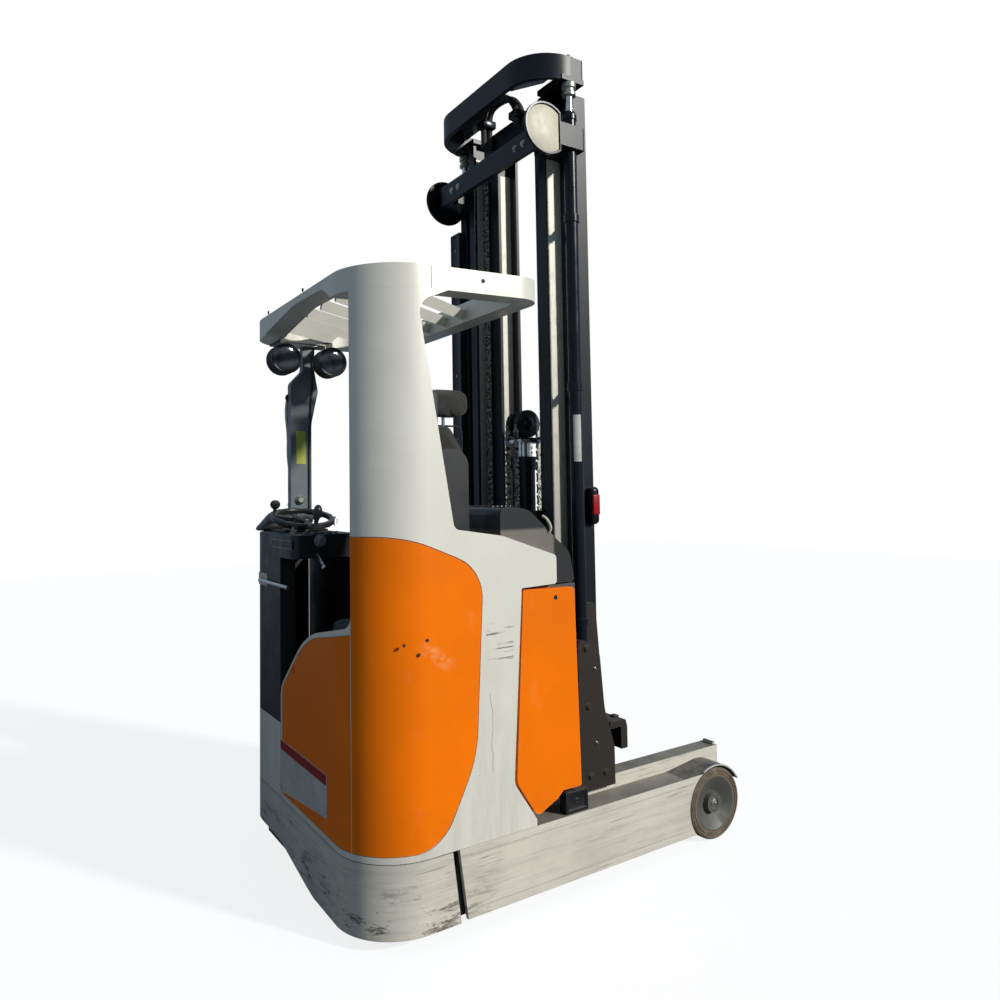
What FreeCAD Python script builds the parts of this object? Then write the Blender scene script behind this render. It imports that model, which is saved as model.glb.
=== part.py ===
"""Electric reach truck with a three-stage mast, as a parametric FreeCAD document.

Millimetres, +X towards the forks, +Y to the operator's front (left side), +Z up.
Lengths along X are measured from the flat rear face, and each sub-part's Placement
then moves it by half the overall length, so that the origin is under the middle.
"""
import FreeCAD
import Part

import math
import os

import Sketcher
from FreeCAD import Placement, Rotation, Vector

# ---------------------------------------------------------------- driving dimensions
SIZES = [
    # overall
    ("half_width", 635.0),          # side of the truck from its centre line
    ("corner_radius", 230.0),       # rear corners, seen from above
    ("moving_gap", 5.0),            # clearance between moving pieces
    ("seam", 3.0),                  # visible seam between fixed covers
    ("seat_gap", 0.3),              # between pieces that rest on each other
    ("pin_fit", 0.05),              # radial running clearance of a shaft
    # rear skirt
    ("skirt_low", 42.0),
    ("skirt_top", 275.0),
    ("skirt_wall", 18.0),
    ("skirt_front_top", 309.0),
    ("skirt_front_low", 340.0),
    ("skirt_slot", 26.0),           # slanted slot between skirt and leg
    ("skirt_arch", 70.0),           # rise of the cut at the rear left
    ("skirt_arch_near", 170.0),     # where the cut has its full rise
    ("skirt_arch_bend", -120.0),
    ("skirt_arch_end", -260.0),
    # support legs
    ("leg_low", 46.0),
    ("leg_top", 277.0),
    ("leg_plate", 16.0),
    ("leg_width", 107.0),           # outer face to the rail's web
    ("rail_top", 330.0),
    ("rail_low", 200.0),            # underside of the channel the rollers run in
    ("rail_foot", 60.0),            # lower edge of the rail's web
    ("rail_web", 14.0),
    ("rail_depth", 77.0),           # from the web's outer face to the flange tip
    ("rail_front", 1690.0),
    # welded frame
    ("frame_plate", 15.0),
    ("pan_low", 75.0),
    ("pan_rear", 52.0),
    ("corner_relief", 25.0),         # from the corner's start to the pan's tongue
    ("bulkhead_front", 572.0),
    ("bulkhead_top", 1085.0),
    ("bulkhead_seat", 1300.0),      # top of the part that stands inside the hood
    # load wheels
    ("load_axle_along", 1556.0),
    ("load_wheel_radius", 142.5),
    ("load_wheel_width", 92.0),
    ("load_tread", 30.5),           # thickness of the load wheels' tyres
    ("load_rim_lip", 8.0),
    ("load_rim_dish", 26.0),        # depth of the dish at the hub
    ("load_hub_radius", 38.0),
    ("load_axle_radius", 22.0),
    ("load_axle_end", 10.0),        # axle end below the rim's face
    ("axle_boss", 6.0),             # boss on the rail's web behind the wheel
    ("wheel_side_gap", 4.0),
    ("arch_gap", 9.0),              # tyre to arch and fender
    ("fender_wall", 5.0),
    ("fender_tail", 176.0),         # from the axle back to the foot of the slope
    ("fender_tail_width", 22.0),
    ("fender_front_rise", 39.5),    # the cover's front edge above the axle
    # drive unit
    ("drive_along", 255.0),
    ("drive_across", -120.0),
    ("drive_wheel_radius", 171.5),
    ("drive_wheel_width", 114.0),
    ("drive_rim_radius", 122.0),
    ("drive_rim_lip", 14.0),
    ("drive_rim_dish", 22.0),
    ("drive_hub_radius", 50.0),
    ("drive_stub_radius", 34.0),    # wheel shaft against its arm
    ("turret_clear", 29.0),         # drive wheel's top to the deck it hangs from
    ("turret_radius", 135.0),
    ("turret_plate", 24.0),
    ("turret_flange", 18.0),
    ("turret_margin", 70.0),        # from the turret to the frame's side plates
    ("turret_collar", 22.0),        # flange beyond the turret's radius
    ("fork_arm_wall", 46.0),        # arm that carries the drive wheel
    ("fork_arm_half", 60.0),
    ("drive_swing", 24.0),          # opening in the pan beyond the wheel's radius
    ("motor_radius", 118.0),
    ("motor_height", 290.0),
    ("motor_flange", 26.0),
    ("motor_brake", 34.0),
    # battery and its covers
    ("battery_rear", 578.0),
    ("battery_length", 283.0),
    ("battery_low", 346.0),
    ("battery_height", 753.0),
    ("hood_wall", 8.0),
    ("hood_lift", 14.0),            # hood's lower edge above the battery
    ("hood_overlap", 20.0),         # hood's rear edge behind the bulkhead
    ("hood_rear_top", 1392.0),
    ("hood_ridge", 120.0),          # flat part at the hood's rear
    ("hood_front_top", 1215.0),
    ("cover_front", 850.0),
    ("cover_rear", 607.0),
    ("cover_waist", 567.0),         # rearmost point of the battery cover's edge
    ("cover_waist_up", 440.0),
    ("cover_top", 1096.0),
    ("cover_foot", 308.0),
    ("cover_notch_up", 372.0),
    ("cover_notch", 766.0),
    ("cover_heel", 652.0),
    ("cover_lock_along", 748.0),
    ("cover_lock_up", 1058.0),
    ("cover_lock_radius", 9.0),
    # body shells and panels
    ("shell_wall", 30.0),
    ("panel_depth", 9.0),
    ("column_seam", -496.0),        # left edge of the broad column on the rear face
    ("column_front", 332.0),        # column's front edge where it meets the waist
    ("column_neck", 205.0),         # column's front edge near its top
    ("column_crown", 320.0),        # column's front edge at the guard
    ("waist_rear", 1320.0),
    ("waist_bend", 523.0),
    ("waist_bend_up", 1290.0),
    ("waist_front", 1210.0),
    ("beak_front", 755.0),
    ("beak_low", 1108.0),
    ("side_seam_low", 648.0),       # where the side meets the battery cover, low down
    ("side_seam_waist", 556.0),
    ("side_seam_top", 600.0),
    ("rear_cover_end", 150.0),
    ("rear_cover_top", 985.0),
    ("rear_cover_step", 700.0),     # height where the rear cover's edge turns vertical
    ("rear_cover_bend", -124.0),
    ("rear_cover_drop", 62.0),
    ("cover_low", 300.0),
    ("side_panel_front", 441.0),
    ("side_panel_front_up", 1180.0),
    ("side_panel_bend", 405.0),
    ("side_panel_bend_up", 560.0),
    ("side_panel_foot", 270.0),
    ("side_panel_top", 1302.0),
    ("grip_radius", 14.0),
    ("grip_across", 10.0),
    ("grip_up", 790.0),
    # step and sill
    ("step_plate", 22.0),           # floor plate, laid on the leg rails
    ("sill_top", 560.0),
    ("sill_wall", 24.0),
    ("entry_rear", 265.0),
    ("left_shell_rear", 500.0),
    # overhead guard
    ("guard_low", 2116.0),
    ("guard_rise", 0.033),          # rise forward per unit of length
    ("guard_beam", 80.0),
    ("guard_width", 88.0),
    ("guard_front", 735.0),
    ("guard_front_radius", 110.0),
    ("guard_arch", 48.0),           # rise of the arch under the rear beam
    ("guard_arch_half", 380.0),
    ("blade_height", 42.0),
    ("blade_wall", 14.0),
    ("blade_pitch", 150.0),
    ("blade_first", -1010.0),
    ("blade_angle", 31.0),
    ("blade_lean", 28.0),
    ("post_inset", 45.0),           # middle of the post to the truck's side
    ("post_wall", 42.0),
    ("post_rear", 178.0),
    ("post_front", 274.0),
    ("post_neck_rear", 234.0),
    ("post_neck_front", 290.0),
    ("post_neck_up", 2012.0),
    ("post_shoulder", 306.0),
    ("post_shoulder_up", 1920.0),
    # operator's place
    ("dash_top", 1290.0),
    ("dash_height", 90.0),
    ("dash_front", 262.0),
    ("dash_end", 20.0),
    ("console_wall", 60.0),
    ("steering_radius", 132.0),
    ("steering_along", 150.0),
    ("steering_across", 330.0),
    ("steering_up", 1345.0),
    ("steering_tilt", 15.0),
    ("steering_grip", 12.0),        # half the rim's thickness
    ("steering_spoke", 30.0),
    ("steering_spoke_low", -10.0),
    ("steering_spoke_high", 2.0),
    ("steering_stub", 20.0),        # hub's foot below the rim's plane
    ("column_radius", 34.0),
    ("seat_along", 315.0),
    ("seat_across", -220.0),
    ("seat_height", 960.0),
    ("seat_width", 400.0),
    ("seat_depth", 410.0),
    ("cushion", 90.0),
    ("backrest_top", 1695.0),
    ("backrest_wide_up", 1556.0),
    ("backrest_wide_half", 184.0),
    ("backrest_top_half", 96.0),
    ("backrest_waist_up", 1430.0),
    ("backrest_waist_half", 150.0),
    ("backrest_half", 180.0),
    ("backrest_depth", 106.0),
    ("headrest_centre", 1762.0),
    ("headrest_half", 165.0),
    ("headrest_height", 104.0),
    ("headrest_depth", 70.0),
    ("back_shell_wall", 27.0),
    ("armrest_width", 66.0),
    ("armrest_low", 1114.0),
    ("armrest_high", 1182.0),
    ("armrest_length", 310.0),
    ("pedal_plate_rear", 20.0),     # from the entry's rear edge
    ("pedal_plate_length", 190.0),
    ("pedal_plate_near", 330.0),
    ("pedal_plate_far", 470.0),
    ("pedal_plate_wall", 5.0),
    ("pedal_inset", 15.0),
    ("pedal_half", 38.0),
    ("pedal_heel", 14.0),
    ("pedal_toe", 26.0),
    ("lamp_radius", 64.0),
    ("lamp_depth", 80.0),
    ("lamp_inset", 162.0),          # lamps to the middle of the post
    ("lamp_rear_along", 100.0),
    ("lamp_front_along", 307.0),
    ("lamp_up", 2032.0),
    ("hanger_wall", 3.0),           # half the strap's thickness
    ("hanger_reach", 150.0),
    # mast
    ("mast_top", 3140.0),
    ("mast_low", 130.0),
    ("stage_step", 20.0),           # each inner stage starts this much higher
    ("outer_rear", 1060.0),
    ("outer_depth", 105.0),
    ("outer_out", 365.0),
    ("outer_flange", 50.0),
    ("middle_rear", 985.0),
    ("middle_depth", 115.0),
    ("middle_flange", 46.0),
    ("inner_rear", 1049.0),
    ("inner_depth", 116.0),
    ("inner_gap", 51.0),            # middle stage's flanges to the inner stage's web
    ("inner_flange", 64.0),
    ("rail_wall", 14.0),
    ("roller_play", 0.4),           # rollers between their flanges
    ("stage_roller_width", 34.0),
    ("stage_stub_radius", 20.0),
    ("stage_roller_up", 110.0),     # above the stage's lower end
    ("cross_wall", 24.0),
    ("cross_rear", 925.0),
    ("cross_height", 120.0),
    ("bow_rear", 840.0),
    ("bow_height", 105.0),
    ("bow_half_width", 440.0),
    ("bow_radius", 190.0),
    ("bow_plate", 20.0),
    ("bow_end_radius", 12.0),
    ("tie_drop", 290.0),            # mast top to the tie's lower edge
    ("tie_height", 95.0),
    ("tie_rear", 880.0),
    ("tie_wall", 22.0),
    ("tie_radius", 70.0),
    ("lift_along", 1032.0),
    ("lift_across", 422.0),
    ("lift_tube_radius", 27.0),
    ("lift_rod_radius", 17.0),
    ("lift_tube_drop", 130.0),      # mast top to the main cylinders' upper ends
    ("tube_floor", 30.0),           # closed end of every cylinder tube
    ("free_along", 1062.0),
    ("free_tube_radius", 52.0),
    ("free_collar_radius", 58.0),
    ("free_collar_height", 60.0),
    ("free_rod_radius", 30.0),
    ("free_tube_top", 1600.0),
    ("foot_cross_wall", 26.0),      # crossmember the free-lift cylinder stands on
    ("middle_cross_low", 1300.0),   # inner stage's crossmembers behind the cylinder
    ("middle_cross_height", 60.0),
    ("top_cross_height", 110.0),
    ("cross_arm", 36.0),            # arms that reach the crossmembers back behind the cylinder
    ("head_height", 24.0),
    ("head_half", 62.0),
    ("head_rise", 60.0),            # head above the free-lift tube
    ("pulley_radius", 62.0),
    ("pulley_width", 26.0),
    ("pulley_inner", 20.0),
    ("pulley_groove", 9.0),
    # reach carriage
    ("carriage_rear", 905.0),
    ("carriage_front", 1195.0),
    ("carriage_low", 110.0),
    ("carriage_top", 980.0),
    ("carriage_out", 394.0),        # outer face of the plates inside the rails
    ("carriage_wall", 22.0),
    ("guard_plate_out", 560.0),     # outer face of the plates that stand over the legs
    ("guard_plate_wall", 20.0),
    ("guard_plate_low", 305.0),
    ("guard_plate_top", 893.0),
    ("guard_plate_rear", 907.0),
    ("guard_plate_front", 1078.0),
    ("guard_plate_front_up", 446.0),
    ("guard_plate_waist", 1032.0),
    ("guard_plate_waist_up", 599.0),
    ("guard_plate_neck", 1013.0),
    ("guard_plate_neck_up", 812.0),
    ("shelf_wall", 24.0),           # shelf over the rail that carries those plates
    ("roller_rear", 1000.0),
    ("roller_front", 1090.0),
    ("roller_stub", 20.0),
    ("cross_plate", 20.0),
    ("reach_tube_radius", 38.0),
    ("reach_rod_radius", 22.0),
    ("reach_height", 205.0),
    ("reach_across", 170.0),
    ("reach_tube_rear", 230.0),
    ("reach_tube_front", 880.0),
    # fork carriage, shown without its forks
    ("fork_face", 1290.0),
    ("fork_bar_half", 400.0),
    ("fork_bar_top", 480.0),
    ("fork_bar_height", 118.0),
    ("fork_bar_wall", 34.0),
    ("fork_bar_shelf", 60.0),
    ("fork_bar_drop", 407.0),       # top of the upper bar to the foot of the lower bar
    ("fork_bar_low_height", 90.0),
    ("carriage_side_wall", 28.0),
    ("carriage_side_inset", 14.0),
    ("carriage_side_rise", 190.0),
    ("carriage_side_drop", 130.0),
    ("mast_roller_low", -60.0),
    ("mast_roller_high", 110.0),
]

doc = FreeCAD.newDocument("reach_truck")


class Size:
    """A number together with the sheet expression that works it out."""

    def __init__(self, value, text=None):
        self.value = float(value)
        self.text = text if text else "(%.6g)" % float(value)

    def _with(self, other, sign, value):
        return Size(value, "(%s %s %s)" % (self.text, sign, other.text))

    def __add__(self, other):
        other = size(other)
        return self._with(other, "+", self.value + other.value)

    def __radd__(self, other):
        return size(other) + self

    def __sub__(self, other):
        other = size(other)
        return self._with(other, "-", self.value - other.value)

    def __rsub__(self, other):
        return size(other) - self

    def __mul__(self, other):
        other = size(other)
        return self._with(other, "*", self.value * other.value)

    def __rmul__(self, other):
        return size(other) * self

    def __truediv__(self, other):
        other = size(other)
        return self._with(other, "/", self.value / other.value)

    def __neg__(self):
        return Size(-self.value, "(0 - %s)" % self.text)


def size(value):
    return value if isinstance(value, Size) else Size(value)


class Sizes:
    """The spreadsheet, with each alias also readable as a Size."""

    def __init__(self, rows):
        self.sheet = doc.addObject("Spreadsheet::Sheet", "Sizes")
        for row, (name, value) in enumerate(rows, start=1):
            self.sheet.set("A%d" % row, name)
            self.sheet.set("B%d" % row, "%.6g" % value)
            self.sheet.setAlias("B%d" % row, name)
            setattr(self, name, Size(value, "Sizes." + name))


s = Sizes(SIZES)
doc.recompute()
fender_reach = s.load_wheel_radius + s.arch_gap + s.fender_wall
length = s.load_axle_along + fender_reach
to_middle = -(length / 2)
rail_face = s.half_width - s.leg_width      # outer face of the rail's web
rail_tip = rail_face - s.rail_depth         # edge of the rail's flanges
middle_out = s.outer_out - s.outer_flange - s.moving_gap
inner_out = middle_out - s.middle_flange - s.inner_gap
floor_top = s.rail_top + s.seat_gap + s.step_plate
shelf_top = s.rail_top + s.moving_gap + s.shelf_wall
battery_half = s.half_width - s.shell_wall  # the battery fills the space between the shells
post_across = s.half_width - s.post_inset
lamp_across = post_across - s.lamp_inset
turret_low = s.drive_wheel_radius * 2 + s.turret_clear
load_rim_radius = s.load_wheel_radius - s.load_tread
fender_front_up = s.load_wheel_radius + s.fender_front_rise
tie_low = s.mast_top - s.tie_drop
bow_low = s.mast_top + s.moving_gap
lift_tube_top = s.mast_top - s.lift_tube_drop
NODES = []


# ---------------------------------------------------------------- small modelling kit
def bind(thing, prop, value):
    """Tie a property to the sheet, or set it when it is a plain number."""
    thing.setExpression(prop, size(value).text)


def place(thing, along=0, across=0, up=0):
    bind(thing, "Placement.Base.x", size(along))
    bind(thing, "Placement.Base.y", size(across))
    bind(thing, "Placement.Base.z", size(up))


def node(thing, name, along=0, across=0, up=0):
    """Make an object a sub-part: its name, its Placement and its place in the list."""
    thing.Label = name
    place(thing, size(along) + to_middle, across, up)
    NODES.append(thing)
    return thing


def new_body(name):
    body = doc.addObject("PartDesign::Body", name)
    body.Label = name
    return body


def origin_plane(body, role):
    return [item for item in body.Origin.OriginFeatures if item.Role == role][0]


def unit(start, end):
    return (end - start).normalize()


def outline(sketch, corners):
    """A closed loop of lines; a corner's third entry rounds it to that radius."""
    count = len(corners)
    points = [Vector(size(c[0]).value, size(c[1]).value, 0) for c in corners]
    starts, ends, arcs = [], [], {}
    for i, corner in enumerate(corners):
        here, before, after = points[i], points[i - 1], points[(i + 1) % count]
        if len(corner) < 3:
            starts.append(here)
            ends.append(here)
            continue
        radius = size(corner[2]).value
        back, ahead = unit(here, before), unit(here, after)
        half = back.getAngle(ahead) / 2
        reach = radius / math.tan(half)
        centre = here + (back + ahead).normalize() * (radius / math.sin(half))
        first, last = here + back * reach, here + ahead * reach
        middle = centre + (here - centre).normalize() * radius
        arcs[i] = Part.Arc(first, middle, last)
        ends.append(first)
        starts.append(last)
    lines = [sketch.addGeometry(Part.LineSegment(starts[i], ends[(i + 1) % count]), False)
             for i in range(count)]
    for i, corner in enumerate(corners):
        line_in, line_out = lines[i - 1], lines[i]
        if i not in arcs:
            sketch.addConstraint(Sketcher.Constraint("Coincident", line_in, 2, line_out, 1))
            fix_point(sketch, line_out, 1, corner)
            continue
        vertex = sketch.addGeometry(Part.Point(points[i]), True)
        fix_point(sketch, vertex, 1, corner)
        sketch.addConstraint(Sketcher.Constraint("PointOnObject", vertex, 1, line_in))
        sketch.addConstraint(Sketcher.Constraint("PointOnObject", vertex, 1, line_out))
        arc = sketch.addGeometry(arcs[i], False)
        arc_start = sketch.getPoint(arc, 1)
        near, far = (1, 2) if (arc_start - ends[i]).Length < 1e-4 else (2, 1)
        sketch.addConstraint(Sketcher.Constraint("Tangent", line_in, 2, arc, near))
        sketch.addConstraint(Sketcher.Constraint("Tangent", arc, far, line_out, 1))
        at = sketch.addConstraint(Sketcher.Constraint("Radius", arc, size(corner[2]).value))
        sketch.setExpression("Constraints[%d]" % at, size(corner[2]).text)


def fix_point(sketch, geometry, end, corner):
    for kind, value in (("DistanceX", size(corner[0])), ("DistanceY", size(corner[1]))):
        at = sketch.addConstraint(Sketcher.Constraint(kind, geometry, end, value.value))
        sketch.setExpression("Constraints[%d]" % at, value.text)


def ring(sketch, centre, radius):
    """A circle with a bound centre and radius."""
    middle = Vector(size(centre[0]).value, size(centre[1]).value, 0)
    circle = sketch.addGeometry(Part.Circle(middle, Vector(0, 0, 1), size(radius).value), False)
    fix_point(sketch, circle, 3, centre)
    at = sketch.addConstraint(Sketcher.Constraint("Radius", circle, size(radius).value))
    sketch.setExpression("Constraints[%d]" % at, size(radius).text)


def new_sketch(body, role, offset, loops):
    sketch = body.newObject("Sketcher::SketchObject", "Sketch")
    sketch.AttachmentSupport = [(origin_plane(body, role), "")]
    sketch.MapMode = "FlatFace"
    bind(sketch, "AttachmentOffset.Base.z", offset)
    for loop in loops:
        if isinstance(loop, tuple):
            ring(sketch, loop[0], loop[1])
        else:
            outline(sketch, loop)
    return sketch


# A loop is a list of corners, or (centre, radius) for a circle. On XY_Plane its two
# numbers are x and y, on XZ_Plane x and z, and on YZ_Plane y and z.
def pad(body, role, low, high, *loops):
    """Add material between two positions along the plane's own axis."""
    low, high = size(low), size(high)
    offset = -high if role == "XZ_Plane" else low
    feature = body.newObject("PartDesign::Pad", "Pad")
    feature.Profile = new_sketch(body, role, offset, loops)
    bind(feature, "Length", high - low)
    return feature


def pocket(body, role, low, high, *loops):
    """Take material away between two positions along the plane's own axis."""
    low, high = size(low), size(high)
    offset = -low if role == "XZ_Plane" else high
    feature = body.newObject("PartDesign::Pocket", "Pocket")
    feature.Profile = new_sketch(body, role, offset, loops)
    bind(feature, "Length", high - low)
    return feature


def turned(name, profile, along_y=True):
    """A solid of revolution; the profile's corners are (radius, position on the axis)."""
    body = new_body(name)
    add_turned(body, profile, along_y)
    return body


def add_turned(body, profile, along_y=True):
    role = "XY_Plane" if along_y else "XZ_Plane"
    feature = body.newObject("PartDesign::Revolution", "Revolution")
    sketch = new_sketch(body, role, 0, [profile])
    feature.Profile = sketch
    feature.ReferenceAxis = (sketch, ["V_Axis"])
    feature.Angle = 360
    return feature


def box_loop(low_a, high_a, low_b, high_b, radius=None):
    corners = [(low_a, low_b), (high_a, low_b), (high_a, high_b), (low_a, high_b)]
    if radius is None:
        return corners
    return [corner + (radius,) for corner in corners]


def block(name, along, across, up):
    """A plain box between pairs of positions."""
    box = doc.addObject("Part::Box", name)
    box.Label = name
    bind(box, "Length", size(along[1]) - along[0])
    bind(box, "Width", size(across[1]) - across[0])
    bind(box, "Height", size(up[1]) - up[0])
    place(box, along[0], across[0], up[0])
    return box


def rod(name, centre, radius, length, axis="up"):
    """A round bar from its centre's start point along one axis."""
    bar = doc.addObject("Part::Cylinder", name)
    bar.Label = name
    bind(bar, "Radius", radius)
    bind(bar, "Height", length)
    if axis == "along":
        bar.Placement = Placement(Vector(), Rotation(Vector(0, 1, 0), 90))
    if axis == "across":
        bar.Placement = Placement(Vector(), Rotation(Vector(1, 0, 0), -90))
    place(bar, *centre)
    return bar


def fuse(name, *shapes):
    joined = doc.addObject("Part::MultiFuse", name)
    joined.Shapes = list(shapes)
    joined.Refine = True
    joined.Label = name
    return joined


def cut(name, base, *tools):
    tool = tools[0] if len(tools) == 1 else fuse(name + "_tool", *tools)
    result = doc.addObject("Part::Cut", name)
    result.Base = base
    result.Tool = tool
    result.Refine = True
    result.Label = name
    return result


def common(name, base, tool):
    result = doc.addObject("Part::Common", name)
    result.Base = base
    result.Tool = tool
    result.Refine = True
    result.Label = name
    return result


def side_span(side, inner, outer):
    """The (low, high) positions across for a stretch on one side."""
    inner, outer = size(inner), size(outer)
    return (inner, outer) if side > 0 else (-outer, -inner)


SIDES = (("right", -1), ("left", 1))


# ---------------------------------------------------------------- plan outlines
def wrap_loop(rear, half, front, radius, wall):
    """A band round the rear of the truck, open at the front."""
    rear, half, wall, radius = size(rear), size(half), size(wall), size(radius)
    return [(front, -half), (rear, -half, radius), (rear, half, radius), (front, half),
            (front, half - wall), (rear + wall, half - wall, radius - wall),
            (rear + wall, wall - half, radius - wall), (front, wall - half)]


def corner_loop(side, rear, half, front, inner_end, radius, wall):
    """A band round one rear corner, ending at inner_end on the rear face."""
    rear, half, wall, radius = size(rear), size(half), size(wall), size(radius)
    return [(front, half * side), (rear, half * side, radius), (rear, inner_end),
            (rear + wall, inner_end), (rear + wall, (half - wall) * side, radius - wall),
            (front, (half - wall) * side)]


# ---------------------------------------------------------------- frame and legs
def rear_skirt():
    body = new_body("rear_skirt")
    pad(body, "XY_Plane", s.skirt_low, s.skirt_top,
        wrap_loop(0, s.half_width, s.skirt_front_low, s.corner_radius, s.skirt_wall))
    top = s.skirt_top + 10
    low = s.skirt_low - 10
    pocket(body, "XZ_Plane", -s.half_width - 1, s.half_width + 1,
           [(s.skirt_front_top, top), (s.skirt_front_low, low),
            (s.skirt_front_low + 50, low), (s.skirt_front_low + 50, top)])
    arch = s.skirt_low + s.skirt_arch
    pocket(body, "YZ_Plane", -1, s.corner_radius + 40,
           [(s.skirt_arch_end, low), (s.half_width + 1, low), (s.half_width + 1, arch),
            (s.skirt_arch_near, arch, 260), (s.skirt_arch_bend, s.skirt_low + 12, 400)])
    node(body, "rear_skirt")


def support_leg(name, side):
    """A leg: outer plate, top plate and the channel the reach carriage runs in."""
    body = new_body(name + "_leg")
    outer = s.half_width
    web = rail_face
    tip = rail_tip
    plate = s.leg_plate
    back = web - s.rail_web
    start = s.skirt_front_top + s.skirt_slot
    profile = [(outer, s.leg_low), (outer, s.leg_top), (web, s.leg_top), (web, s.rail_top),
               (tip, s.rail_top), (tip, s.rail_top - plate), (back, s.rail_top - plate),
               (back, s.rail_low + plate), (tip, s.rail_low + plate), (tip, s.rail_low),
               (back, s.rail_low), (back, s.rail_foot), (web, s.rail_foot),
               (web, s.leg_top - plate), (outer - plate, s.leg_top - plate),
               (outer - plate, s.leg_low)]
    pad(body, "YZ_Plane", start, s.rail_front, [(across * side, up) for across, up in profile])
    low, high = side_span(side, web, outer + 1)
    lean = s.skirt_front_low - s.skirt_front_top
    pocket(body, "XZ_Plane", low, high,
           [(start - 20, s.skirt_low), (start + lean, s.skirt_low),
            (start, s.leg_top + 3), (start - 20, s.leg_top + 3)])
    axle = (s.load_axle_along, s.load_wheel_radius)
    pocket(body, "XZ_Plane", low, high, (axle, s.load_wheel_radius + s.arch_gap))
    pocket(body, "XZ_Plane", low, high,
           box_loop(s.load_axle_along, s.rail_front + 200, 0, s.leg_top + 20))
    boss_low, boss_high = side_span(side, web - 1, web + s.axle_boss)
    pad(body, "XZ_Plane", boss_low, boss_high, (axle, s.load_axle_radius * 2))
    bore_low, bore_high = side_span(side, back - 1, web + s.axle_boss + 1)
    pocket(body, "XZ_Plane", bore_low, bore_high, (axle, s.load_axle_radius))
    node(body, name + "_leg")


def fender(name, side):
    """The plate that slopes up from the leg and curves over a load wheel."""
    body = new_body(name + "_fender")
    inner = s.load_wheel_radius + s.arch_gap
    outer = inner + s.fender_wall
    low, high = side_span(side, rail_face + s.seat_gap, s.half_width)
    along, up = s.load_axle_along, s.load_wheel_radius
    pad(body, "XZ_Plane", low, high, ((along, up), outer), ((along, up), inner))
    foot = s.leg_top + s.seat_gap
    pocket(body, "XZ_Plane", low - 1, high + 1,
           [(along - 250, -50), (along + 250, -50), (along + 250, fender_front_up),
            (along - 60, foot), (along - 250, foot)])
    tail = along - s.fender_tail
    pad(body, "XZ_Plane", low, high,
        [(tail, foot), (tail + s.fender_tail_width, foot),
         (along - 44, up + inner - 5), (along - 30, up + outer - 3)])
    node(body, name + "_fender")


def load_wheel(name, side):
    """Tyre, dished rim and the axle that carries them, held in the rail's web."""
    half = s.load_wheel_width / 2
    out = half * side
    across = side * (s.half_width - s.wheel_side_gap - half)
    centre = {"along": s.load_axle_along, "across": across, "up": s.load_wheel_radius}
    edge = s.moving_gap + 2
    tyre = turned(name + "_load_tyre", [
        (load_rim_radius, -half), (s.load_wheel_radius, -half, edge),
        (s.load_wheel_radius, half, edge), (load_rim_radius, half)])
    node(tyre, name + "_load_tyre", **centre)
    bore = s.load_axle_radius + s.pin_fit
    hub_face = out - s.load_axle_end / 2 * side
    rim = turned(name + "_load_rim", [
        (bore, -out), (load_rim_radius, -out), (load_rim_radius, out),
        (load_rim_radius - s.load_rim_lip, out),
        (s.load_hub_radius + 6, out - s.load_rim_dish * side),
        (s.load_hub_radius, hub_face), (bore, hub_face)])
    node(rim, name + "_load_rim", **centre)
    axle_low, axle_high = side_span(side, rail_face - s.rail_web,
                                    s.half_width - s.wheel_side_gap - s.load_axle_end)
    axle = rod(name + "_load_axle", (s.load_axle_along, axle_low, s.load_wheel_radius),
               s.load_axle_radius, axle_high - axle_low, "across")
    node(axle, name + "_load_axle", s.load_axle_along, axle_low, s.load_wheel_radius)


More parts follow.
